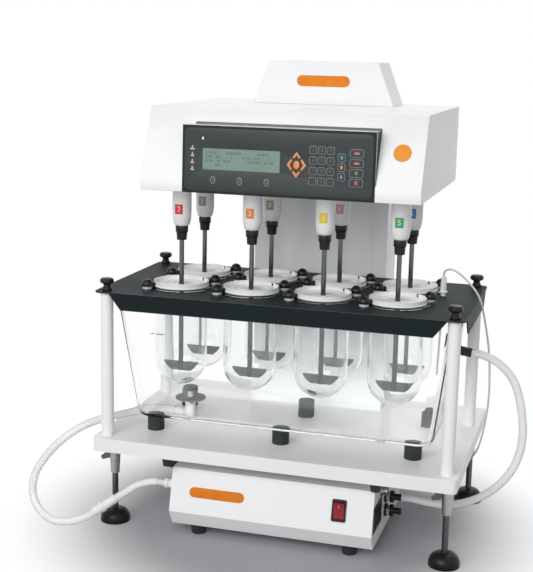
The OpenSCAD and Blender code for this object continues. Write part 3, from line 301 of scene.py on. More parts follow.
cord("soft_probe_cable", [
    (298, -14, 542), (298, -14, 551), (303, -15, 557), (313, -17, 559), (327, -20, 554),
    (342, -23, 543), (357, -26, 529), (369, -28, 514), (378, -30, 495), (384, -31, 472),
    (390, -32, 445), (396, -32, 413), (400, -32, 378), (402, -30, 340), (402, -26, 302),
    (399, -18, 266), (394, -8, 232), (388, 4, 202), (380, 14, 175), (365, 22, 150),
    (342, 27, 130), (312, 29, 117), (278, 30, 110), (252, 30, 108), (232, 30, 108)],
    CABLE_D, cable_sheath)
WELD_GAP, FLAT_DEGREES, EDGE_STEPS = 2e-6, 0.4, 3


def dress(node, *finishes, edge=0.0, turn=32, pick=lambda at, normal: 0):
    """Gives a solid its finishes, picked face by face, and rounds its edges by edge mm."""
    part = nodes[node]
    mesh = part.data
    mesh.materials.clear()
    for material in finishes:
        mesh.materials.append(material)
    for face in mesh.polygons:
        face.material_index = pick(face.center / MM, face.normal)
    mesh.polygons.foreach_set("use_smooth", [True] * len(mesh.polygons))
    if "custom_normal" in mesh.attributes:
        mesh.attributes.remove(mesh.attributes["custom_normal"])
    weld = part.modifiers.new("joined_faces", "WELD")
    weld.merge_threshold = WELD_GAP
    if not edge:
        split = part.modifiers.new("crisp_edges", "EDGE_SPLIT")
        split.split_angle = math.radians(turn)
        return
    flat = part.modifiers.new("whole_faces", "DECIMATE")
    flat.decimate_type = "DISSOLVE"
    flat.angle_limit = math.radians(FLAT_DEGREES)
    flat.delimit = {"MATERIAL"}
    bevel = part.modifiers.new("broken_edges", "BEVEL")
    bevel.width = edge * MM
    bevel.segments = EDGE_STEPS
    bevel.limit_method = "ANGLE"
    bevel.angle_limit = math.radians(turn)
    bevel.harden_normals = True
    bevel.use_clamp_overlap = True


white_plastic = finish(
    "white_plastic", {"Subsurface Weight": 0.05, "Subsurface Radius": (0.002, 0.002, 0.002)},
    moulded_skin,
    {"Color": (0.90, 0.90, 0.895), "Tint": (0.85, 0.85, 0.845), "Cloud Scale": 30,
     "Roughness": 0.34, "Spread": 0.15, "Grain Scale": 900}, bump=0.03)
dress("hose_coupling", white_plastic, edge=0.8)

# ---- Base slab and its levelling feet ----
# A thick white-coated slab on four steel levelling screws; each screw carries a black bell
# pad, a tapered lock nut with a lever, and turns in the slab. The rubber bumpers under the slab
# get one finish with the bath's blocks and the circulator's feet.
FOOT_X, FOOT_Y = 349, 183
PAD_TOP, STUD_TOP, NUT_REACH = 28.2, 105.3, 14
# Painted light: the slab's tone is raised to lift its shaded top under the plate and the bath.
white_slab = finish(
    "white_slab", {"Specular IOR Level": 0.4}, moulded_skin,
    {"Color": (0.93, 0.93, 0.925), "Tint": (0.91, 0.91, 0.905), "Cloud Scale": 5,
     "Roughness": 0.38, "Spread": 0.12, "Grain Scale": 700}, bump=0.05)
dress("base_plate", white_slab, edge=2.2)

turned_metal, given, gives = node_group("turned_metal", [
    ("Color", "Color"), ("Tint", "Color"), ("Lines", "Vector"), ("Roughness", "Float"),
    ("Spread", "Float")])
place = add(turned_metal, "TexCoord").outputs["Object"]
stretched = add(turned_metal, "VectorMath", {0: place, 1: given["Lines"]}, operation="MULTIPLY")
lines = add(turned_metal, "TexNoise", {"Vector": stretched.outputs[0], "Scale": 1, "Detail": 4})
smudge = add(turned_metal, "TexNoise", {"Vector": place, "Scale": 35, "Detail": 3})
metal_tone = add(turned_metal, "Mix", {0: lines.outputs[0], 6: given["Color"], 7: given["Tint"]},
                 data_type="RGBA")
both = add(turned_metal, "Math", {0: lines.outputs[0], 1: smudge.outputs[0]}, operation="ADD")
sheen = uneven_sheen(turned_metal, given, both, 1.0)
give(turned_metal, gives, metal_tone, sheen, lines)
screw_steel = finish(
    "screw_steel", {"Metallic": 1}, turned_metal,
    {"Color": (0.46, 0.47, 0.48), "Tint": (0.24, 0.25, 0.26), "Lines": (8, 8, 650),
     "Roughness": 0.3, "Spread": 0.25}, bump=0.6)
stud_steel = finish(
    "stud_steel", {"Metallic": 1}, turned_metal,
    {"Color": (0.13, 0.145, 0.145), "Tint": (0.055, 0.065, 0.065), "Lines": (8, 8, 650),
     "Roughness": 0.28, "Spread": 0.25}, bump=0.6)
foot_plastic = finish(
    "foot_plastic", {"Specular IOR Level": 0.2}, moulded_skin,
    {"Color": (0.006, 0.008, 0.008), "Tint": (0.012, 0.014, 0.014), "Cloud Scale": 25,
     "Roughness": 0.34, "Spread": 0.2, "Grain Scale": 600}, bump=0.06)
for corner, x, y in (("fl", -FOOT_X, -FOOT_Y), ("fr", FOOT_X, -FOOT_Y),
                     ("bl", -FOOT_X, FOOT_Y), ("br", FOOT_X, FOOT_Y)):
    dress(f"levelling_foot_{corner}", foot_plastic, stud_steel, screw_steel, edge=0.6,
          pick=lambda at, normal: 0 if at.z < PAD_TOP else
          1 if at.z < STUD_TOP or math.hypot(at.x - x, at.y - y) > NUT_REACH else 2)

black_rubber = finish(
    "black_rubber", {"Specular IOR Level": 0.25}, moulded_skin,
    {"Color": (0.022, 0.028, 0.028), "Tint": (0.034, 0.041, 0.041), "Cloud Scale": 40,
     "Roughness": 0.55, "Spread": 0.2, "Grain Scale": 1200}, bump=0.12)
dress("rubber_feet", black_rubber, edge=1.2)

# ---- Circulator ----
# A folded sheet case in white enamel on four rubber feet, with a slotted vent, a cable socket
# and hose ports in its right side, one port in its left side, and a red rocker in a black frame.
CASE_SIDE = 211
CASE_FACE, CASE_LEAN = (-216, 98), 14.04
GLAND_Y, VENT_Y, VENT_TOP = 10, -134, 110
PORTS_TOP, FLANGE_OUT, HEXAGON_OUT = 107, 4.7, 10.9
ROCKER_X, ROCKER_TIP, MARK_UP, MARK_OUT = 142.5, 16, 8.5, 3.0
BADGE_T, BADGE_EDGE = 0.6, 0.2
# Painted light: a lighter copy of the head's white enamel, brightening the case, the columns and
# the tower.
painted_light_enamel = finish(
    "painted_light_enamel", {"Specular IOR Level": 0.5}, moulded_skin,
    {"Color": (0.94, 0.945, 0.945), "Tint": (0.92, 0.925, 0.93), "Cloud Scale": 6,
     "Roughness": 0.3, "Spread": 0.12, "Grain Scale": 520}, bump=0.05)
dress("circulator_case", painted_light_enamel, edge=1.1)
port_steel = finish(
    "port_steel", {"Metallic": 1}, turned_metal,
    {"Color": (0.52, 0.53, 0.54), "Tint": (0.34, 0.35, 0.36), "Lines": (600, 60, 60),
     "Roughness": 0.28, "Spread": 0.25}, bump=0.2)
black_plastic = finish(
    "black_plastic", {"Specular IOR Level": 0.22, "Coat Weight": 0.08, "Coat Roughness": 0.1},
    moulded_skin,
    {"Color": (0.007, 0.009, 0.009), "Tint": (0.013, 0.015, 0.015), "Cloud Scale": 45,
     "Roughness": 0.26, "Spread": 0.2, "Grain Scale": 900}, bump=0.05)


def port_finish(at, normal):
    if at.x < 0:
        return 2
    out = at.x - CASE_SIDE
    vent_or_gland = at.y > GLAND_Y or (at.y < VENT_Y and at.z < VENT_TOP)
    return int(vent_or_gland or (at.z < PORTS_TOP and (out < FLANGE_OUT or out > HEXAGON_OUT)))


dress("circulator_ports", port_steel, black_plastic, white_plastic, edge=0.5, pick=port_finish)
pump_alloy = finish(
    "pump_alloy", {"Metallic": 1}, turned_metal,
    {"Color": (0.5, 0.51, 0.52), "Tint": (0.4, 0.41, 0.42), "Lines": (200, 200, 200),
     "Roughness": 0.5, "Spread": 0.25}, bump=0.4)
dress("circulator_pump", pump_alloy, edge=1.0)
dress("switch_frame", black_plastic, edge=0.7)
red_lens = finish(
    "red_lens", {"Specular IOR Level": 0.3, "Coat Weight": 0.1, "Coat Roughness": 0.1},
    moulded_skin,
    {"Color": (0.34, 0.016, 0.020), "Tint": (0.27, 0.012, 0.016), "Cloud Scale": 70,
     "Roughness": 0.24, "Spread": 0.15, "Grain Scale": 900}, bump=0.03)
dress("power_rocker", red_lens, edge=0.5)


def sheet_of(outlines, thickness, rounding=0.0):
    """Cuts a flat sheet from closed outlines; an outline inside another is a hole."""
    curve = bpy.data.curves.new("cut_sheet", "CURVE")
    curve.dimensions = "2D"
    curve.fill_mode = "BOTH"
    curve.extrude = thickness / 2 - rounding
    curve.bevel_depth = rounding
    curve.bevel_resolution = 2
    curve.offset = -rounding
    for outline in outlines:
        spline = curve.splines.new("POLY")
        spline.points.add(len(outline) - 1)
        for point, (x, y) in zip(spline.points, outline):
            point.co = (x, y, 0, 1)
        spline.use_cyclic_u = True
    return solid_of(curve, thickness / 2)


def solid_of(curve, lift):
    holder = bpy.data.objects.new("holder", curve)
    scene.collection.objects.link(holder)
    built = holder.evaluated_get(bpy.context.evaluated_depsgraph_get())
    mesh = bpy.data.meshes.new_from_object(built)
    bm = bmesh.new()
    bm.from_mesh(mesh)
    bmesh.ops.remove_doubles(bm, verts=bm.verts, dist=1e-5)
    bmesh.ops.translate(bm, verts=bm.verts, vec=(0, 0, lift))
    bpy.data.objects.remove(holder)
    bpy.data.curves.remove(curve)
    bpy.data.meshes.remove(mesh)
    return bm


def figure_of(text, height, thickness):
    """A solid figure; the font's size is 1.4 times the height of a capital."""
    curve = bpy.data.curves.new("figure", "FONT")
    curve.body = text
    curve.size = height * 1.4
    curve.align_x, curve.align_y = "CENTER", "CENTER"
    curve.extrude = thickness / 2
    curve.resolution_u = 6
    return solid_of(curve, thickness / 2)


def round_box(width, height, radius, at=(0, 0), steps=6):
    outline = []
    for quarter, (sx, sy) in enumerate(((1, 1), (-1, 1), (-1, -1), (1, -1))):
        for k in range(steps + 1):
            angle = math.pi / 2 * (quarter + k / steps)
            outline.append((at[0] + sx * (width / 2 - radius) + radius * math.cos(angle),
                            at[1] + sy * (height / 2 - radius) + radius * math.sin(angle)))
    return outline


def join(bm, extra, index=0, placing=None):
    """Puts the faces of extra into bm with that finish, and frees extra."""
    placed = {}
    for vert in extra.verts:
        placed[vert] = bm.verts.new(placing @ vert.co if placing else vert.co)
    for face in extra.faces:
        bm.faces.new([placed[v] for v in face.verts]).material_index = index
    extra.free()


def piece(name, bm, finishes, body, slot, *stands_for, crease=35):
    """Makes a piece from a mesh in mm that rides a body and may stand for CAD nodes."""
    bmesh.ops.scale(bm, vec=(MM, MM, MM), verts=bm.verts)
    bmesh.ops.recalc_face_normals(bm, faces=bm.faces)
    mesh = bpy.data.meshes.new(name)
    bm.to_mesh(mesh)
    bm.free()
    for material in finishes:
        mesh.materials.append(material)
    mesh.polygons.foreach_set("use_smooth", [True] * len(mesh.polygons))
    mesh.set_sharp_from_angle(angle=math.radians(crease))
    made = bpy.data.objects.new(name, mesh)
    scene.collection.objects.link(made)
    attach(made, body)
    if stands_for:
        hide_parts(*stands_for)


def on_face(x, y, z, lean):
    """Stands a flat outline up as a front face that leans back by lean degrees."""
    return Matrix.Translation((x, y, z)) @ Matrix.Rotation(math.radians(90 - lean), 4, "X")


circulator_face = on_face(0, *CASE_FACE, CASE_LEAN)
orange_print = finish(
    "orange_print", {"Specular IOR Level": 0.08}, moulded_skin,
    {"Color": (0.80, 0.235, 0.022), "Tint": (0.74, 0.205, 0.018), "Cloud Scale": 40,
     "Roughness": 0.5, "Spread": 0.15, "Grain Scale": 1500}, bump=0.03)
bm = bmesh.new()
join(bm, sheet_of([round_box(117, 21, 10.4, (-112, -1))], BADGE_T, BADGE_EDGE), 0, circulator_face)
piece("circulator_badge", bm, [orange_print], "root", "white_enamel")

bm = bmesh.new()
rocker_face = on_face(ROCKER_X, *CASE_FACE, CASE_LEAN - ROCKER_TIP)
for mark, up in (("I", MARK_UP), ("O", -MARK_UP)):
    join(bm, figure_of(mark, 5.5, 0.25), 0, rocker_face @ Matrix.Translation((0, up, MARK_OUT)))
white_print = finish(
    "white_print", {}, moulded_skin,
    {"Color": (0.80, 0.80, 0.79), "Tint": (0.74, 0.74, 0.73), "Cloud Scale": 60,
     "Roughness": 0.4, "Spread": 0.1, "Grain Scale": 1500})
piece("rocker_marks", bm, [white_print], "rocker", "white_plastic")

# ---- Columns, vessel plate and corner knobs ----
# Four white-enamelled tubes stand on the slab and carry a dark enamelled plate of folded
# sheet; black mushroom knobs screw down through the plate into the tubes.
dress("support_columns", painted_light_enamel, edge=0.6)
# Edges turn a lighter tone: partly rubbed wear broken up by noise, partly a painted highlight along
# the folds.
worn_and_highlit_edge, given, gives = node_group("worn_and_highlit_edge", [
    ("Color", "Color"), ("Wear And Highlight", "Color"), ("Reach", "Float"), ("Roughness", "Float"),
    ("Spread", "Float")])
place = add(worn_and_highlit_edge, "TexCoord").outputs["Object"]
soft_normal = add(worn_and_highlit_edge, "Bevel", {"Radius": given["Reach"]}, samples=4)
true_normal = add(worn_and_highlit_edge, "NewGeometry").outputs["Normal"]
along = add(worn_and_highlit_edge, "VectorMath", {0: soft_normal.outputs[0], 1: true_normal},
            operation="DOT_PRODUCT")
edge_breakup = add(worn_and_highlit_edge, "TexNoise", {"Vector": place, "Scale": 60, "Detail": 4})
turned_away = add(worn_and_highlit_edge, "MapRange", {"Value": along.outputs["Value"], "From Min": 0.995,
                                            "From Max": 0.86})
wear_and_highlight = add(worn_and_highlit_edge, "Math", {0: turned_away.outputs[0], 1: edge_breakup.outputs[0]},
          operation="MULTIPLY")
edge_tone = add(worn_and_highlit_edge, "Mix", {0: wear_and_highlight.outputs[0], 6: given["Color"], 7: given["Wear And Highlight"]},
                data_type="RGBA")
cloud = add(worn_and_highlit_edge, "TexNoise", {"Vector": place, "Scale": 9, "Detail": 3})
sheen = uneven_sheen(worn_and_highlit_edge, given, cloud, 0.5)
grain = add(worn_and_highlit_edge, "TexNoise", {"Vector": place, "Scale": 800, "Detail": 2})
give(worn_and_highlit_edge, gives, edge_tone, sheen, grain)
# The plate's lighter edges are a painted highlight along its rounded folds, with some wear.
dark_enamel = finish(
    "dark_enamel", {"Specular IOR Level": 0.06}, worn_and_highlit_edge,
    {"Color": (0.012, 0.0185, 0.0195), "Wear And Highlight": (0.26, 0.29, 0.295), "Reach": 0.0022,
     "Roughness": 0.48, "Spread": 0.16}, bump=0.08)
dress("vessel_plate", dark_enamel, edge=1.4)
dress("corner_knobs", black_plastic, edge=0.7)

# ---- Water bath ----
# One clear moulded acrylic tub that tapers to its floor, standing on six rubber blocks, with
# the outlet in its right wall and the inlet and flow spreader in its floor.
BATH_FLOOR, BATH_TOP = 228.5, 496.0
BATH_FRONT, BATH_BACK, BATH_HALF = -206, 98, 345
BATH_TAPER, BATH_BACK_TAPER = 35, 8
BATH_WALL, BATH_CORNER, BATH_EDGE = 5.0, 32.0, 12.0
INLET_X, INLET_Y, INLET_R = -230, -50, 7
INLET_NUT_TOP, RISER_LOW, RISER_TOP = 236, 247, 262
LEVEL_X, LEVEL_Z = -251, 416
bath_acrylic = let_light_through(finish(
    "bath_acrylic", {"Transmission Weight": 1, "IOR": 1.15}, moulded_skin,
    {"Color": (0.996, 0.999, 0.999), "Tint": (0.99, 0.995, 0.995), "Cloud Scale": 4,
     "Roughness": 0.01, "Spread": 0.02, "Grain Scale": 40}, bump=0.01), (0.995, 0.997, 0.997))


def bath_ring(z, inset):
    drop = (BATH_TOP - z) / (BATH_TOP - BATH_FLOOR)
    front = BATH_FRONT + BATH_TAPER * drop + inset
    back = BATH_BACK - BATH_BACK_TAPER * drop - inset
    width = 2 * (BATH_HALF - BATH_TAPER * drop - inset)
    outline = round_box(width, back - front, BATH_CORNER - inset, (0, (front + back) / 2), 10)
    return [(x, y, z) for x, y in outline]


def skin_over(bm, rings):
    """Lofts closed rings of equal count and closes the first and the last."""
    made = [[bm.verts.new(p) for p in ring] for ring in rings]
    count = len(made[0])
    bm.faces.new(made[0])
    bm.faces.new(made[-1])
    for low, high in zip(made, made[1:]):
        for k in range(count):
            after = (k + 1) % count
            bm.faces.new((low[k], low[after], high[after], high[k]))


rounding = [(BATH_EDGE * (1 - math.sin(math.radians(a))),
             BATH_EDGE * (1 - math.cos(math.radians(a)))) for a in (0, 18, 36, 54, 72, 90)]
outside = [bath_ring(BATH_FLOOR + up, inset) for inset, up in rounding]
lip = [bath_ring(BATH_TOP - 1, 0), bath_ring(BATH_TOP, 1), bath_ring(BATH_TOP, BATH_WALL - 1),
       bath_ring(BATH_TOP - 1, BATH_WALL)]
inside = [bath_ring(BATH_FLOOR + BATH_WALL + up, BATH_WALL + inset)
          for inset, up in reversed(rounding)]
bm = bmesh.new()
skin_over(bm, outside + lip + inside)
piece("clear_bath", bm, [bath_acrylic], "root", "bath_acrylic", "water_bath", crease=40)
pale_riser = finish(
    "pale_riser", {}, moulded_skin,
    {"Color": (0.55, 0.56, 0.56), "Tint": (0.48, 0.49, 0.49), "Cloud Scale": 40,
     "Roughness": 0.35, "Spread": 0.15, "Grain Scale": 700}, bump=0.04)
spreader_grey = finish(
    "spreader_grey", {"Specular IOR Level": 0.3}, moulded_skin,
    {"Color": (0.12, 0.13, 0.13), "Tint": (0.10, 0.11, 0.11), "Cloud Scale": 40,
     "Roughness": 0.4, "Spread": 0.15, "Grain Scale": 700}, bump=0.04)
dress("bath_fittings", black_plastic, pale_riser, spreader_grey, white_plastic, edge=0.5,
      pick=lambda at, normal: 0 if at.x > 0 else 3 if at.z < INLET_NUT_TOP else
      1 if RISER_LOW < at.z < RISER_TOP and math.hypot(at.x - INLET_X, at.y - INLET_Y) < INLET_R
      else 2)

bm = bmesh.new()
bath_depth = BATH_TOP - BATH_FLOOR
front_wall = on_face(LEVEL_X, BATH_FRONT + BATH_TAPER * (BATH_TOP - LEVEL_Z) / bath_depth, LEVEL_Z,
                     -math.degrees(math.atan2(BATH_TAPER, bath_depth)))
for x, wide, tall in ((-9, 9, 1.3), (0, 2.2, 2.6), (3.4, 2.6, 2.6), (7, 2.2, 2.6),
                      (10.4, 2.6, 2.6), (14, 2.2, 2.6)):
    join(bm, sheet_of([round_box(wide, tall, 0.5, (x, 0))], 0.3), 0, front_wall)
black_print = finish(
    "black_print", {"Specular IOR Level": 0.3}, moulded_skin,
    {"Color": (0.02, 0.02, 0.022), "Tint": (0.03, 0.03, 0.032), "Cloud Scale": 60,
     "Roughness": 0.5, "Spread": 0.1, "Grain Scale": 1500})
piece("level_mark", bm, [black_print], "root", "black_plastic")

# ---- Vessels, clamps and covers ----
# Eight round-bottomed glass vessels hang by their rims in the plate; a pair of black domed
# clamps on bright collars holds each rim, and a milky moulded dish covers each mouth.
STATIONS = [(-225, 16.5), (-225, -124.5), (-75, -124.5), (75, -124.5),
            (225, -124.5), (225, 16.5), (75, 16.5), (-75, 16.5)]
VESSEL_R, BORE_R, BOWL_Z = 54, 51.5, 352.5
CLAMP_X, CLAMP_Y, COLLAR_TOP, COLLAR_R = 57, 47, 508.55, 9.75
vessel_glass = let_light_through(finish(
    "vessel_glass", {"Transmission Weight": 1, "IOR": 1.47}, moulded_skin,
    {"Color": (0.975, 0.982, 0.982), "Tint": (0.965, 0.974, 0.974), "Cloud Scale": 12,
     "Roughness": 0.005, "Spread": 0.01, "Grain Scale": 60}, bump=0.008),
    (0.985, 0.987, 0.987))


def turned(bm, outline, at=(0, 0), angles=64):
    """Turns a closed outline of (radius, height), or one that varies with the angle, about Z."""
    if isinstance(angles, int):
        angles = [2 * math.pi * k / angles for k in range(angles)]
    rings = []
    for angle in angles:
        points = outline(angle) if callable(outline) else outline
        rings.append([(r, (at[0] + r * math.cos(angle), at[1] + r * math.sin(angle), z))
                      for r, z in points])
    poles = {}
    grid = []
    for ring in rings:
        row = []
        for k, (r, point) in enumerate(ring):
            if r > 1e-6:
                row.append(bm.verts.new(point))
            else:
                if k not in poles:
                    poles[k] = bm.verts.new((at[0], at[1], point[2]))
                row.append(poles[k])
        grid.append(row)
    count = len(grid[0])
    for here, there in zip(grid, grid[1:] + grid[:1]):
        for k in range(count):
            corners = [here[k], there[k], there[(k + 1) % count], here[(k + 1) % count]]
            corners = [v for i, v in enumerate(corners) if v not in corners[:i]]
            if len(corners) > 2:
                bm.faces.new(corners)


def bow(radius, centre_z, start, end, steps):
    return [(radius * math.cos(math.radians(start + (end - start) * k / steps)),
             centre_z + radius * math.sin(math.radians(start + (end - start) * k / steps)))
            for k in range(steps + 1)]


vessel_rim = [(VESSEL_R, 430), (VESSEL_R, 502.4), (54.6, 503), (63, 503), (64, 504), (64, 505),
              (63, 506), (52.2, 506), (BORE_R, 505.3), (BORE_R, 430)]
vessel_outline = ([(0, 298.5)] + bow(VESSEL_R, BOWL_Z, -86, 0, 16) + vessel_rim
                  + bow(BORE_R, BOWL_Z, 0, -86, 16) + [(0, 301)])
bm = bmesh.new()
for station in STATIONS:
    turned(bm, vessel_outline, station, 72)
piece("glass_vessels", bm, [vessel_glass], "root", "vessel_glass", "vessels", crease=50)

bright_collar = finish(
    "bright_collar", {"Metallic": 0.35}, turned_metal,
    {"Color": (0.86, 0.87, 0.87), "Tint": (0.74, 0.75, 0.75), "Lines": (10, 10, 700),
     "Roughness": 0.25, "Spread": 0.2}, bump=0.1)
dress("vessel_clamps", black_plastic, bright_collar, edge=0.5, turn=40,
      pick=lambda at, normal: int(at.z < COLLAR_TOP and min(
          math.hypot(at.x - x - s * CLAMP_X, at.y - y - s * CLAMP_Y)
          for x, y in STATIONS for s in (-1, 1)) < COLLAR_R))

cover_acrylic = let_light_through(finish(
    "cover_acrylic", {"Transmission Weight": 0.05, "IOR": 1.45}, moulded_skin,
    {"Color": (0.97, 0.97, 0.965), "Tint": (0.94, 0.945, 0.94), "Cloud Scale": 20,
     "Roughness": 0.22, "Spread": 0.15, "Grain Scale": 300}, bump=0.03), (0.55, 0.56, 0.56))
NOTCH = math.radians(55)
NOTCH_HALF = 3.0 / 56.0
COVER_TOP = 516.5
notch_angles = [NOTCH + s * NOTCH_HALF * w for s, w in ((-1, 1.06), (-1, 1), (1, 1), (1, 1.06))]
cover_angles = sorted([2 * math.pi * k / 72 for k in range(72)
                       if abs(2 * math.pi * k / 72 - NOTCH) > NOTCH_HALF * 1.2] + notch_angles)


def cover_outline(angle):
    in_notch = abs(angle - NOTCH) < NOTCH_HALF * 1.03
    top, edge = (509.1, 509.05) if in_notch else (COVER_TOP, COVER_TOP - 0.1)
    return [(6.9, 506.5), (56.7, 506.5), (57.5, 507.0), (57.5, 508.4), (56.4, 509.0),
            (56.4, edge), (56.0, top), (55.2, top), (54.6, edge), (54.6, 508.6),
            (40.5, 508.5), (39.0, 510.4), (36.0, 510.4), (34.5, 508.5), (13.0, 508.5),
            (11.5, 509.4), (8.0, 509.4), (6.9, 508.6)]


for i, station in enumerate(STATIONS, 1):
    bm = bmesh.new()
    turned(bm, cover_outline, station, cover_angles)
    piece(f"dish_cover_{i}", bm, [cover_acrylic], f"cover_{i}", "cover_acrylic",
          f"vessel_cover_{i}")

# ---- Tower and lift column ----
# A tall box of folded white sheet stands on the slab behind the vessels, with a thin cover screwed
# over its back; the steel lift column slides in its guides and carries the head.
BACK_Y, BACK_COVER_T, BACK_COVER_Z = 244.0, 1.0, 457
SCREW_OUTLINE = [(0, -0.1), (3.6, -0.1), (3.6, 0.7), (2.9, 1.6), (1.8, 1.9), (1.6, 0.8), (0, 0.8)]


def at_back(x, z, out=0.0):
    return Matrix.Translation((x, BACK_Y + out, z)) @ Matrix.Rotation(math.radians(-90), 4, "X")


def back_screws(name, places, body, out=0.0):
    bm = bmesh.new()
    for x, z in places:
        screw = bmesh.new()
        turned(screw, SCREW_OUTLINE, angles=24)
        join(bm, screw, 0, at_back(x, z, out))
    piece(name, bm, [port_steel], body, "stainless", crease=30)


dress("tower_housing", painted_light_enamel, edge=0.5)
bm = bmesh.new()
join(bm, sheet_of([round_box(262, 466, 8)], BACK_COVER_T, 0.3), 0, at_back(0, BACK_COVER_Z))
piece("tower_back_cover", bm, [painted_light_enamel], "root", "white_enamel")
back_screws("tower_screws", [(x, z) for x in (-121, 121) for z in (234, 382, 532, 680)],
            "root", BACK_COVER_T)
lift_steel = finish(
    "lift_steel", {"Metallic": 1}, turned_metal,
    {"Color": (0.62, 0.63, 0.64), "Tint": (0.5, 0.51, 0.52), "Lines": (10, 10, 500),
     "Roughness": 0.2, "Spread": 0.2}, bump=0.1)
dress("lift_column", lift_steel, edge=0.5)

# ---- Drive head ----
# A folded white shell with a leaning fascia on a steel floor, a hood over the motor, and the
# motor, pulleys and belts that turn all eight spindles together. Screws hold shell and hood
# from behind.
HOOD_BACK_Y = 212.0
FASCIA_Y, FASCIA_Z, FASCIA_LEAN = -190, 803.75, 23.02
white_enamel = finish(
    "white_enamel", {"Specular IOR Level": 0.5}, moulded_skin,
    {"Color": (0.85, 0.855, 0.855), "Tint": (0.82, 0.825, 0.83), "Cloud Scale": 6,
     "Roughness": 0.3, "Spread": 0.12, "Grain Scale": 520}, bump=0.06)
dress("head_shell", white_enamel, edge=1.1)
dress("motor_cover", white_enamel, edge=1.1)
back_screws("head_screws", [(x, z) for x in (-262, -88, 88, 262) for z in (723, 860)], "head")
back_screws("hood_screws", [(x, 883) for x in (-126, 6.5, 139)], "head", HOOD_BACK_Y - BACK_Y)
floor_steel = finish(
    "floor_steel", {"Metallic": 1}, turned_metal,
    {"Color": (0.55, 0.56, 0.57), "Tint": (0.45, 0.46, 0.47), "Lines": (6, 500, 6),
     "Roughness": 0.38, "Spread": 0.2}, bump=0.15)
dress("head_floor", floor_steel)
dress("spindle_bearings", lift_steel)
motor_enamel = finish(
    "motor_enamel", {}, moulded_skin,
    {"Color": (0.03, 0.032, 0.035), "Tint": (0.045, 0.047, 0.05), "Cloud Scale": 30,
     "Roughness": 0.45, "Spread": 0.2, "Grain Scale": 500}, bump=0.1)
dress("drive_motor", motor_enamel, edge=0.8)
dress("motor_pulley", lift_steel)
dress("drive_belts", black_rubber)
bm = bmesh.new()
join(bm, sheet_of([round_box(115, 23, 11.4)], BADGE_T, BADGE_EDGE), 0, on_face(7, 100, 921, 0))
piece("hood_badge", bm, [orange_print], "head", "white_enamel")
bm = bmesh.new()
fascia = on_face(0, FASCIA_Y, FASCIA_Z, FASCIA_LEAN)
join(bm, sheet_of([round_box(34, 34, 16.9, steps=14)], BADGE_T, BADGE_EDGE), 0,
     fascia @ Matrix.Translation((234, -1.5, 0)))
amber_print = finish(
    "amber_print", {"Specular IOR Level": 0.2}, moulded_skin,
    {"Color": (0.88, 0.34, 0.035), "Tint": (0.83, 0.30, 0.028), "Cloud Scale": 40,
     "Roughness": 0.45, "Spread": 0.15, "Grain Scale": 1500}, bump=0.03)
piece("fascia_badge", bm, [amber_print], "head", "white_enamel")

# ---- Spindle hubs and their number labels ----
# White-coated turned hubs hang under the head floor on flanges and hold the spindle bearings;
# a coloured label with the station's number is wrapped round the front of each.
HUB_R, HUB_TIP_R, HUB_TIP, HUB_BOW = 19.5, 13.0, 630.0, 660.0
HUB_BORE, FLANGE_R, FLANGE_TOP, BEARING_R, BEARING_LOW = 9.2, 29.5, 718.5, 15.5, 664
hub_enamel = finish(
    "hub_enamel", {"Coat Weight": 0.2, "Coat Roughness": 0.12}, moulded_skin,
    {"Color": (0.85, 0.85, 0.84), "Tint": (0.81, 0.81, 0.80), "Cloud Scale": 25,
     "Roughness": 0.28, "Spread": 0.12, "Grain Scale": 700}, bump=0.04)


def hub_radius(z):
    if z >= HUB_BOW:
        return HUB_R
    along = (HUB_BOW - z) / (HUB_BOW - HUB_TIP)
    return HUB_TIP_R + (HUB_R - HUB_TIP_R) * math.sqrt(max(0, 1 - along ** 2))


heights = [HUB_TIP + 1 + 29 * k / 14 for k in range(15)]
hub_outline = ([(HUB_BORE, HUB_TIP), (HUB_TIP_R - 0.6, HUB_TIP)]
               + [(hub_radius(z), z) for z in heights]
               + [(HUB_R, 713.4), (FLANGE_R, 713.5), (FLANGE_R, FLANGE_TOP),
                  (BEARING_R, FLANGE_TOP), (BEARING_R, BEARING_LOW), (HUB_BORE, BEARING_LOW)])
bm = bmesh.new()
for station in STATIONS:
    turned(bm, hub_outline, station, 48)
piece("turned_hubs", bm, [hub_enamel], "head", "hub_enamel", "spindle_hubs", crease=40)

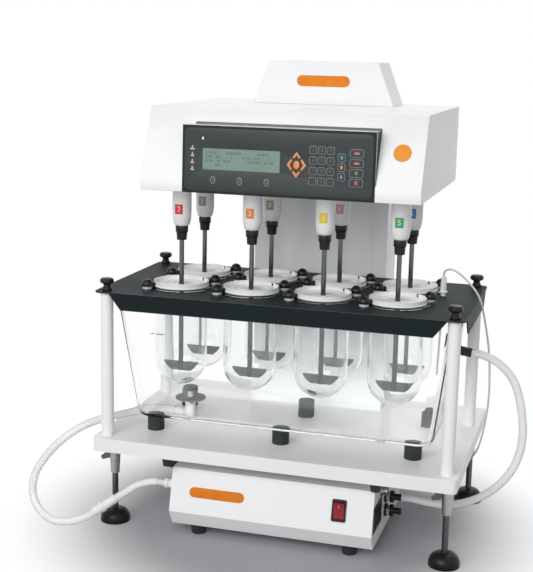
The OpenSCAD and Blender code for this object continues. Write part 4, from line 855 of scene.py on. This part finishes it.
LABELS = [("1", (0.30, 0.30, 0.30)), ("2", (0.72, 0.030, 0.035)), ("3", (0.82, 0.27, 0.03)),
          ("4", (0.85, 0.60, 0.03)), ("5", (0.045, 0.40, 0.12)), ("6", (0.04, 0.20, 0.55)),
          ("7", (0.72, 0.33, 0.36)), ("8", (0.36, 0.30, 0.16))]
LABEL_WIDE, LABEL_LOW, LABEL_TALL = 17.0, 655.2, 20.0
LABEL_UNDER, LABEL_OVER, FIGURE_UNDER = 0.02, 0.22, 0.2
for i, ((number, tone), (x, y)) in enumerate(zip(LABELS, STATIONS), 1):
    def wrapped(across, z, lift):
        angle = across / HUB_R
        r = hub_radius(z) + lift
        return (x + r * math.sin(angle), y - r * math.cos(angle), z)
    label_tone = finish(
        f"label_{i}", {}, moulded_skin,
        {"Color": tone, "Tint": [0.9 * c for c in tone], "Cloud Scale": 60,
         "Roughness": 0.35, "Spread": 0.1, "Grain Scale": 1500}, bump=0.02)
    bm = bmesh.new()
    columns, rows = 12, 8
    sheets = [[[bm.verts.new(wrapped(LABEL_WIDE * (c / columns - 0.5),
                                     LABEL_LOW + LABEL_TALL * r / rows, lift))
                for c in range(columns + 1)] for r in range(rows + 1)]
              for lift in (LABEL_UNDER, LABEL_OVER)]
    for s in sheets:
        for r in range(rows):
            for c in range(columns):
                bm.faces.new((s[r][c], s[r][c + 1], s[r + 1][c + 1], s[r + 1][c]))
    under, over = sheets
    rim = ([(0, c) for c in range(columns)] + [(r, columns) for r in range(rows)]
           + [(rows, c) for c in range(columns, 0, -1)] + [(r, 0) for r in range(rows, 0, -1)])
    for (r0, c0), (r1, c1) in zip(rim, rim[1:] + rim[:1]):
        bm.faces.new((under[r0][c0], under[r1][c1], over[r1][c1], over[r0][c0]))
    figure = figure_of(number, 11, 0.15)
    for vert in figure.verts:
        vert.co = wrapped(vert.co.x, LABEL_LOW + LABEL_TALL / 2 + vert.co.y,
                          FIGURE_UNDER + vert.co.z)
    join(bm, figure, 1)
    piece(f"hub_label_{i}", bm, [label_tone, white_print], "head", "hub_enamel")

# ---- Spindles, chucks and paddles ----
# Hollow steel spindles run in the hubs; a black chuck with a grip ring on each holds the shaft
# of a stainless paddle whose flat blade hangs near the vessel's round bottom.
CHUCK_TOP, BLADE_TOP, SHAFT_END, SHAFT_R = 629.6, 345.2, 327, 5.2
CHUCK_RING = [(10.4, 615.5), (11.9, 616.2), (12.8, 618), (13.1, 627.6), (12.6, 629.3),
              (10.4, 629.3)]
# Painted dark reflection: shaft and blade steel get a dark tone that stands in for the darker
# surroundings they reflect.
shaft_steel_painted_dark = finish(
    "shaft_steel_painted_dark", {"Metallic": 1}, turned_metal,
    {"Color": (0.15, 0.16, 0.163), "Tint": (0.10, 0.108, 0.11), "Lines": (12, 12, 800),
     "Roughness": 0.16, "Spread": 0.15}, bump=0.08)
blade_steel_painted_dark = finish(
    "blade_steel_painted_dark", {"Metallic": 1}, turned_metal,
    {"Color": (0.16, 0.168, 0.17), "Tint": (0.11, 0.116, 0.118), "Lines": (30, 30, 500),
     "Roughness": 0.32, "Spread": 0.2}, bump=0.1)
for i, station in enumerate(STATIONS, 1):
    dress(f"spindle_{i}", lift_steel, black_plastic, edge=0.4,
          pick=lambda at, normal: int(at.z < CHUCK_TOP))
    dress(f"paddle_{i}", shaft_steel_painted_dark, blade_steel_painted_dark, edge=0.5,
          pick=lambda at, normal: int(at.z < BLADE_TOP and (
              abs(at.x - station[0]) > SHAFT_R or at.z < SHAFT_END)))
    bm = bmesh.new()
    turned(bm, CHUCK_RING, station, 40)
    piece(f"chuck_rings_{i}", bm, [black_plastic], f"spindle_{i}", "black_plastic")

# ---- Control panel ----
# A black wedge-shaped box with a bare aluminium top and side strips, seated in a dark enamel
# flange on the fascia that is painted grey as painted light from above, under a printed membrane
# with a green display, three oval keys, an arrow pad, a number pad, and lift and run keys.
PANEL_Z, PANEL_LEAN, PANEL_TOP, PANEL_SIDE = 776, 1.762, 835, 190.05
KEY_UP, SHEET_PRINT_UP, PRINT_UP, DOT_UP = 0.75, 0.76, 1.06, 1.14
KEY_T, PAD_T, KEY_EDGE = 0.35, 0.4, 0.1
OVAL_ROW, ARROW_PAD, LIFT_KEYS_X, RUN_KEYS_X, LAMPS_X = -38.5, (38.5, -2), 125.5, 154, -169
panel_black = finish(
    "panel_black", {"Specular IOR Level": 0.2}, worn_and_highlit_edge,
    {"Color": (0.006, 0.009, 0.009), "Wear And Highlight": (0.05, 0.055, 0.055), "Reach": 0.001,
     "Roughness": 0.42, "Spread": 0.16}, bump=0.06)
case_aluminium = finish(
    "case_aluminium", {"Metallic": 1}, turned_metal,
    {"Color": (0.60, 0.61, 0.61), "Tint": (0.48, 0.49, 0.49), "Lines": (8, 500, 8),
     "Roughness": 0.34, "Spread": 0.2}, bump=0.1)
dress("panel_housing", panel_black, case_aluminium, edge=0.5,
      pick=lambda at, normal: int(normal.z > 0.9 and at.z > PANEL_TOP))
bm = bmesh.new()
for side in (-1, 1):
    strip = on_face(side * PANEL_SIDE, -215, PANEL_Z, PANEL_LEAN)
    bmesh.ops.create_cube(bm, size=1, matrix=strip @ Matrix.Diagonal((0.3, 126, 5, 1)))
piece("panel_trim", bm, [case_aluminium], "head", "dark_enamel")
# Painted light: the flange is dark enamel given a lighter grey, as it reads lit from above.
flange_painted_lighter = finish(
    "flange_painted_lighter", {"Specular IOR Level": 0.3}, moulded_skin,
    {"Color": (0.16, 0.17, 0.17), "Tint": (0.13, 0.14, 0.14), "Cloud Scale": 20,
     "Roughness": 0.45, "Spread": 0.15, "Grain Scale": 700}, bump=0.06)
bm = bmesh.new()
join(bm, sheet_of([round_box(369.3, 112, 2, (6.65, -11.5))], 1.6, 0.3), 0, fascia)
piece("panel_flange", bm, [flange_painted_lighter], "head", "dark_enamel")
panel_face = on_face(0, -218.5, PANEL_Z, PANEL_LEAN)
display_glass = finish(
    "display_glass", {"Coat Weight": 0.5, "Coat Roughness": 0.05}, moulded_skin,
    {"Color": (0.155, 0.255, 0.20), "Tint": (0.135, 0.225, 0.175), "Cloud Scale": 14,
     "Roughness": 0.3, "Spread": 0.1, "Grain Scale": 1500})
dress("display_module", display_glass)
bm = bmesh.new()
for y, words in (
        (13.2, ((-131, "37.0137"), (-87, "100250075"), (-28, "0450050"))),
        (5.6, ((-136, "0075"), (-118, "025"), (-98.5, "1"), (-90.5, "4"), (-61, "37.05"),
               (-40, "0150"), (-27.5, "1"), (-14.5, "2"))),
        (-2.0, ((-135, "0100"), (-116.5, "50"), (-99, "00:45"), (-47.5, "12:00:300"),
                (-16.5, "00:150"))),
        (-9.6, ((-117.5, "060"),))):
    for x, word in words:
        join(bm, figure_of(word, 4.9, 0.1), 0, panel_face @ Matrix.Translation((x, y, -0.48)))
lcd_ink = finish(
    "lcd_ink", {}, moulded_skin,
    {"Color": (0.022, 0.05, 0.038), "Tint": (0.03, 0.062, 0.047), "Cloud Scale": 60,
     "Roughness": 0.5, "Spread": 0.1, "Grain Scale": 1500})
piece("display_figures", bm, [lcd_ink], "head", "display")

membrane = finish(
    "membrane", {"Specular IOR Level": 0.3}, moulded_skin,
    {"Color": (0.023, 0.031, 0.0315), "Tint": (0.029, 0.037, 0.0375), "Cloud Scale": 9,
     "Roughness": 0.42, "Spread": 0.12, "Grain Scale": 1100}, bump=0.06)
key_print = finish(
    "key_print", {}, moulded_skin,
    {"Color": (0.19, 0.21, 0.21), "Tint": (0.16, 0.18, 0.18), "Cloud Scale": 60,
     "Roughness": 0.45, "Spread": 0.1, "Grain Scale": 1500})
PRINT_TONES = {"umber": (0.19, 0.085, 0.055), "orange": (0.82, 0.27, 0.075),
               "blue": (0.06, 0.33, 0.50), "coral": (0.62, 0.16, 0.09),
               "green": (0.12, 0.34, 0.10), "red": (0.70, 0.06, 0.085),
               "pale": (0.52, 0.53, 0.525)}
panel_finishes = [membrane, key_print, white_print]
for word, tone in PRINT_TONES.items():
    panel_finishes.append(finish(
        f"print_{word}", {}, moulded_skin,
        {"Color": tone, "Tint": [0.88 * c for c in tone], "Cloud Scale": 50,
         "Roughness": 0.4, "Spread": 0.1, "Grain Scale": 1200}, bump=0.04))
LINE, WHITE, UMBER, ORANGE, BLUE, CORAL, GREEN, RED, PALE = range(1, 10)
bm = bmesh.new()


def print_on(outlines, index, lift, thickness=0.12, rounding=0.0):
    join(bm, sheet_of(outlines, thickness, rounding), index,
         panel_face @ Matrix.Translation((0, 0, lift)))


def oval(width, height, at, steps=32):
    return [(at[0] + width / 2 * math.cos(2 * math.pi * k / steps),
             at[1] + height / 2 * math.sin(2 * math.pi * k / steps)) for k in range(steps)]


def moved(outline, x, y, turn=0.0):
    c, s = math.cos(turn), math.sin(turn)
    return [(x + c * px - s * py, y + s * px + c * py) for px, py in outline]


def key(x, y, wide, tall, radius):
    print_on([round_box(wide, tall, radius, (x, y))], 0, KEY_UP, KEY_T, KEY_EDGE)
    print_on([round_box(wide, tall, radius, (x, y)),
              round_box(wide - 2, tall - 2, radius - 0.8, (x, y))], LINE, PRINT_UP)


print_on([round_box(370, 120, 10), round_box(155, 41, 1.5, (-71.5, 1.5))], 0, 0, 0.8, 0.2)
for x in (-126.6, -72.9, -19.2):
    print_on([oval(11, 15, (x, OVAL_ROW))], LINE, KEY_UP, KEY_T, KEY_EDGE)
    print_on([oval(7.6, 11.4, (x, OVAL_ROW))], 0, PRINT_UP)
    print_on([oval(4, 7, (x + 0.5, OVAL_ROW))], UMBER, DOT_UP)
upward = [(-7.8, 14), (0, 24.6), (7.8, 14), (5.2, 11.2), (0, 18), (-5.2, 11.2)]
sideways = [(10.6, -11.2), (18.9, 0), (10.6, 11.2), (8.2, 8), (13.2, 0), (8.2, -8)]
for arrow, turn in ((upward, 0), (upward, math.pi), (sideways, 0), (sideways, math.pi)):
    print_on([moved(arrow, *ARROW_PAD, turn)], ORANGE, KEY_UP, PAD_T, KEY_EDGE)
print_on([oval(11.5, 15.5, ARROW_PAD)], ORANGE, KEY_UP, PAD_T, KEY_EDGE)
for k, figure in enumerate("123456789.0-"):
    x, y = (70.5, 87.5, 104.5)[k % 3], (27.5, 8, -11.5, -31)[k // 3]
    key(x, y, 14.5, 15, 3.5)
    join(bm, figure_of(figure, 6.5, 0.12), UMBER,
         panel_face @ Matrix.Translation((x, y, PRINT_UP)))
for y, ink in ((15.5, BLUE), (-2.5, ORANGE), (-20.5, BLUE)):
    key(LIFT_KEYS_X, y, 14.5, 15.5, 3.5)
    print_on([oval(4.6, 7.4, (LIFT_KEYS_X, y))], ink, PRINT_UP)
for y, ink, wide, tall in ((24.5, CORAL, 11, 4), (6, CORAL, 10, 4.4), (-12, GREEN, 5, 6),
                           (-30, RED, 6, 7)):
    key(RUN_KEYS_X, y, 27, 15.5, 4)
    print_on([round_box(wide, tall, 1.9, (RUN_KEYS_X, y))], ink, PRINT_UP)
print_on([oval(4, 6, (-148, 40.5))], WHITE, KEY_UP, PAD_T, KEY_EDGE)
for y, wide in ((22.4, 10), (9.4, 7.5), (-3.8, 7.5), (-17, 7.5)):
    print_on([round_box(wide, 2.6, 1.1, (LAMPS_X, y - 3))], PALE, SHEET_PRINT_UP)
    print_on([[(LAMPS_X - 2.2, y - 0.6), (LAMPS_X + 2.2, y - 0.6), (LAMPS_X, y + 4.8)]],
             PALE, SHEET_PRINT_UP)
piece("printed_membrane", bm, panel_finishes, "head", "membrane", "keypad_overlay")

# ---- Temperature probe ----
# A white plastic grip with a flange stands on the plate's right end and takes the cable at its
# top; its ground steel rod goes through the plate and dips into the bath.
GRIP_LOW = 502.9
probe_rod = finish(
    "probe_rod", {"Metallic": 1}, turned_metal,
    {"Color": (0.6, 0.61, 0.62), "Tint": (0.5, 0.51, 0.52), "Lines": (12, 12, 700),
     "Roughness": 0.2, "Spread": 0.15}, bump=0.05)
dress("temperature_probe", white_plastic, probe_rod, edge=0.6,
      pick=lambda at, normal: int(at.z < GRIP_LOW))
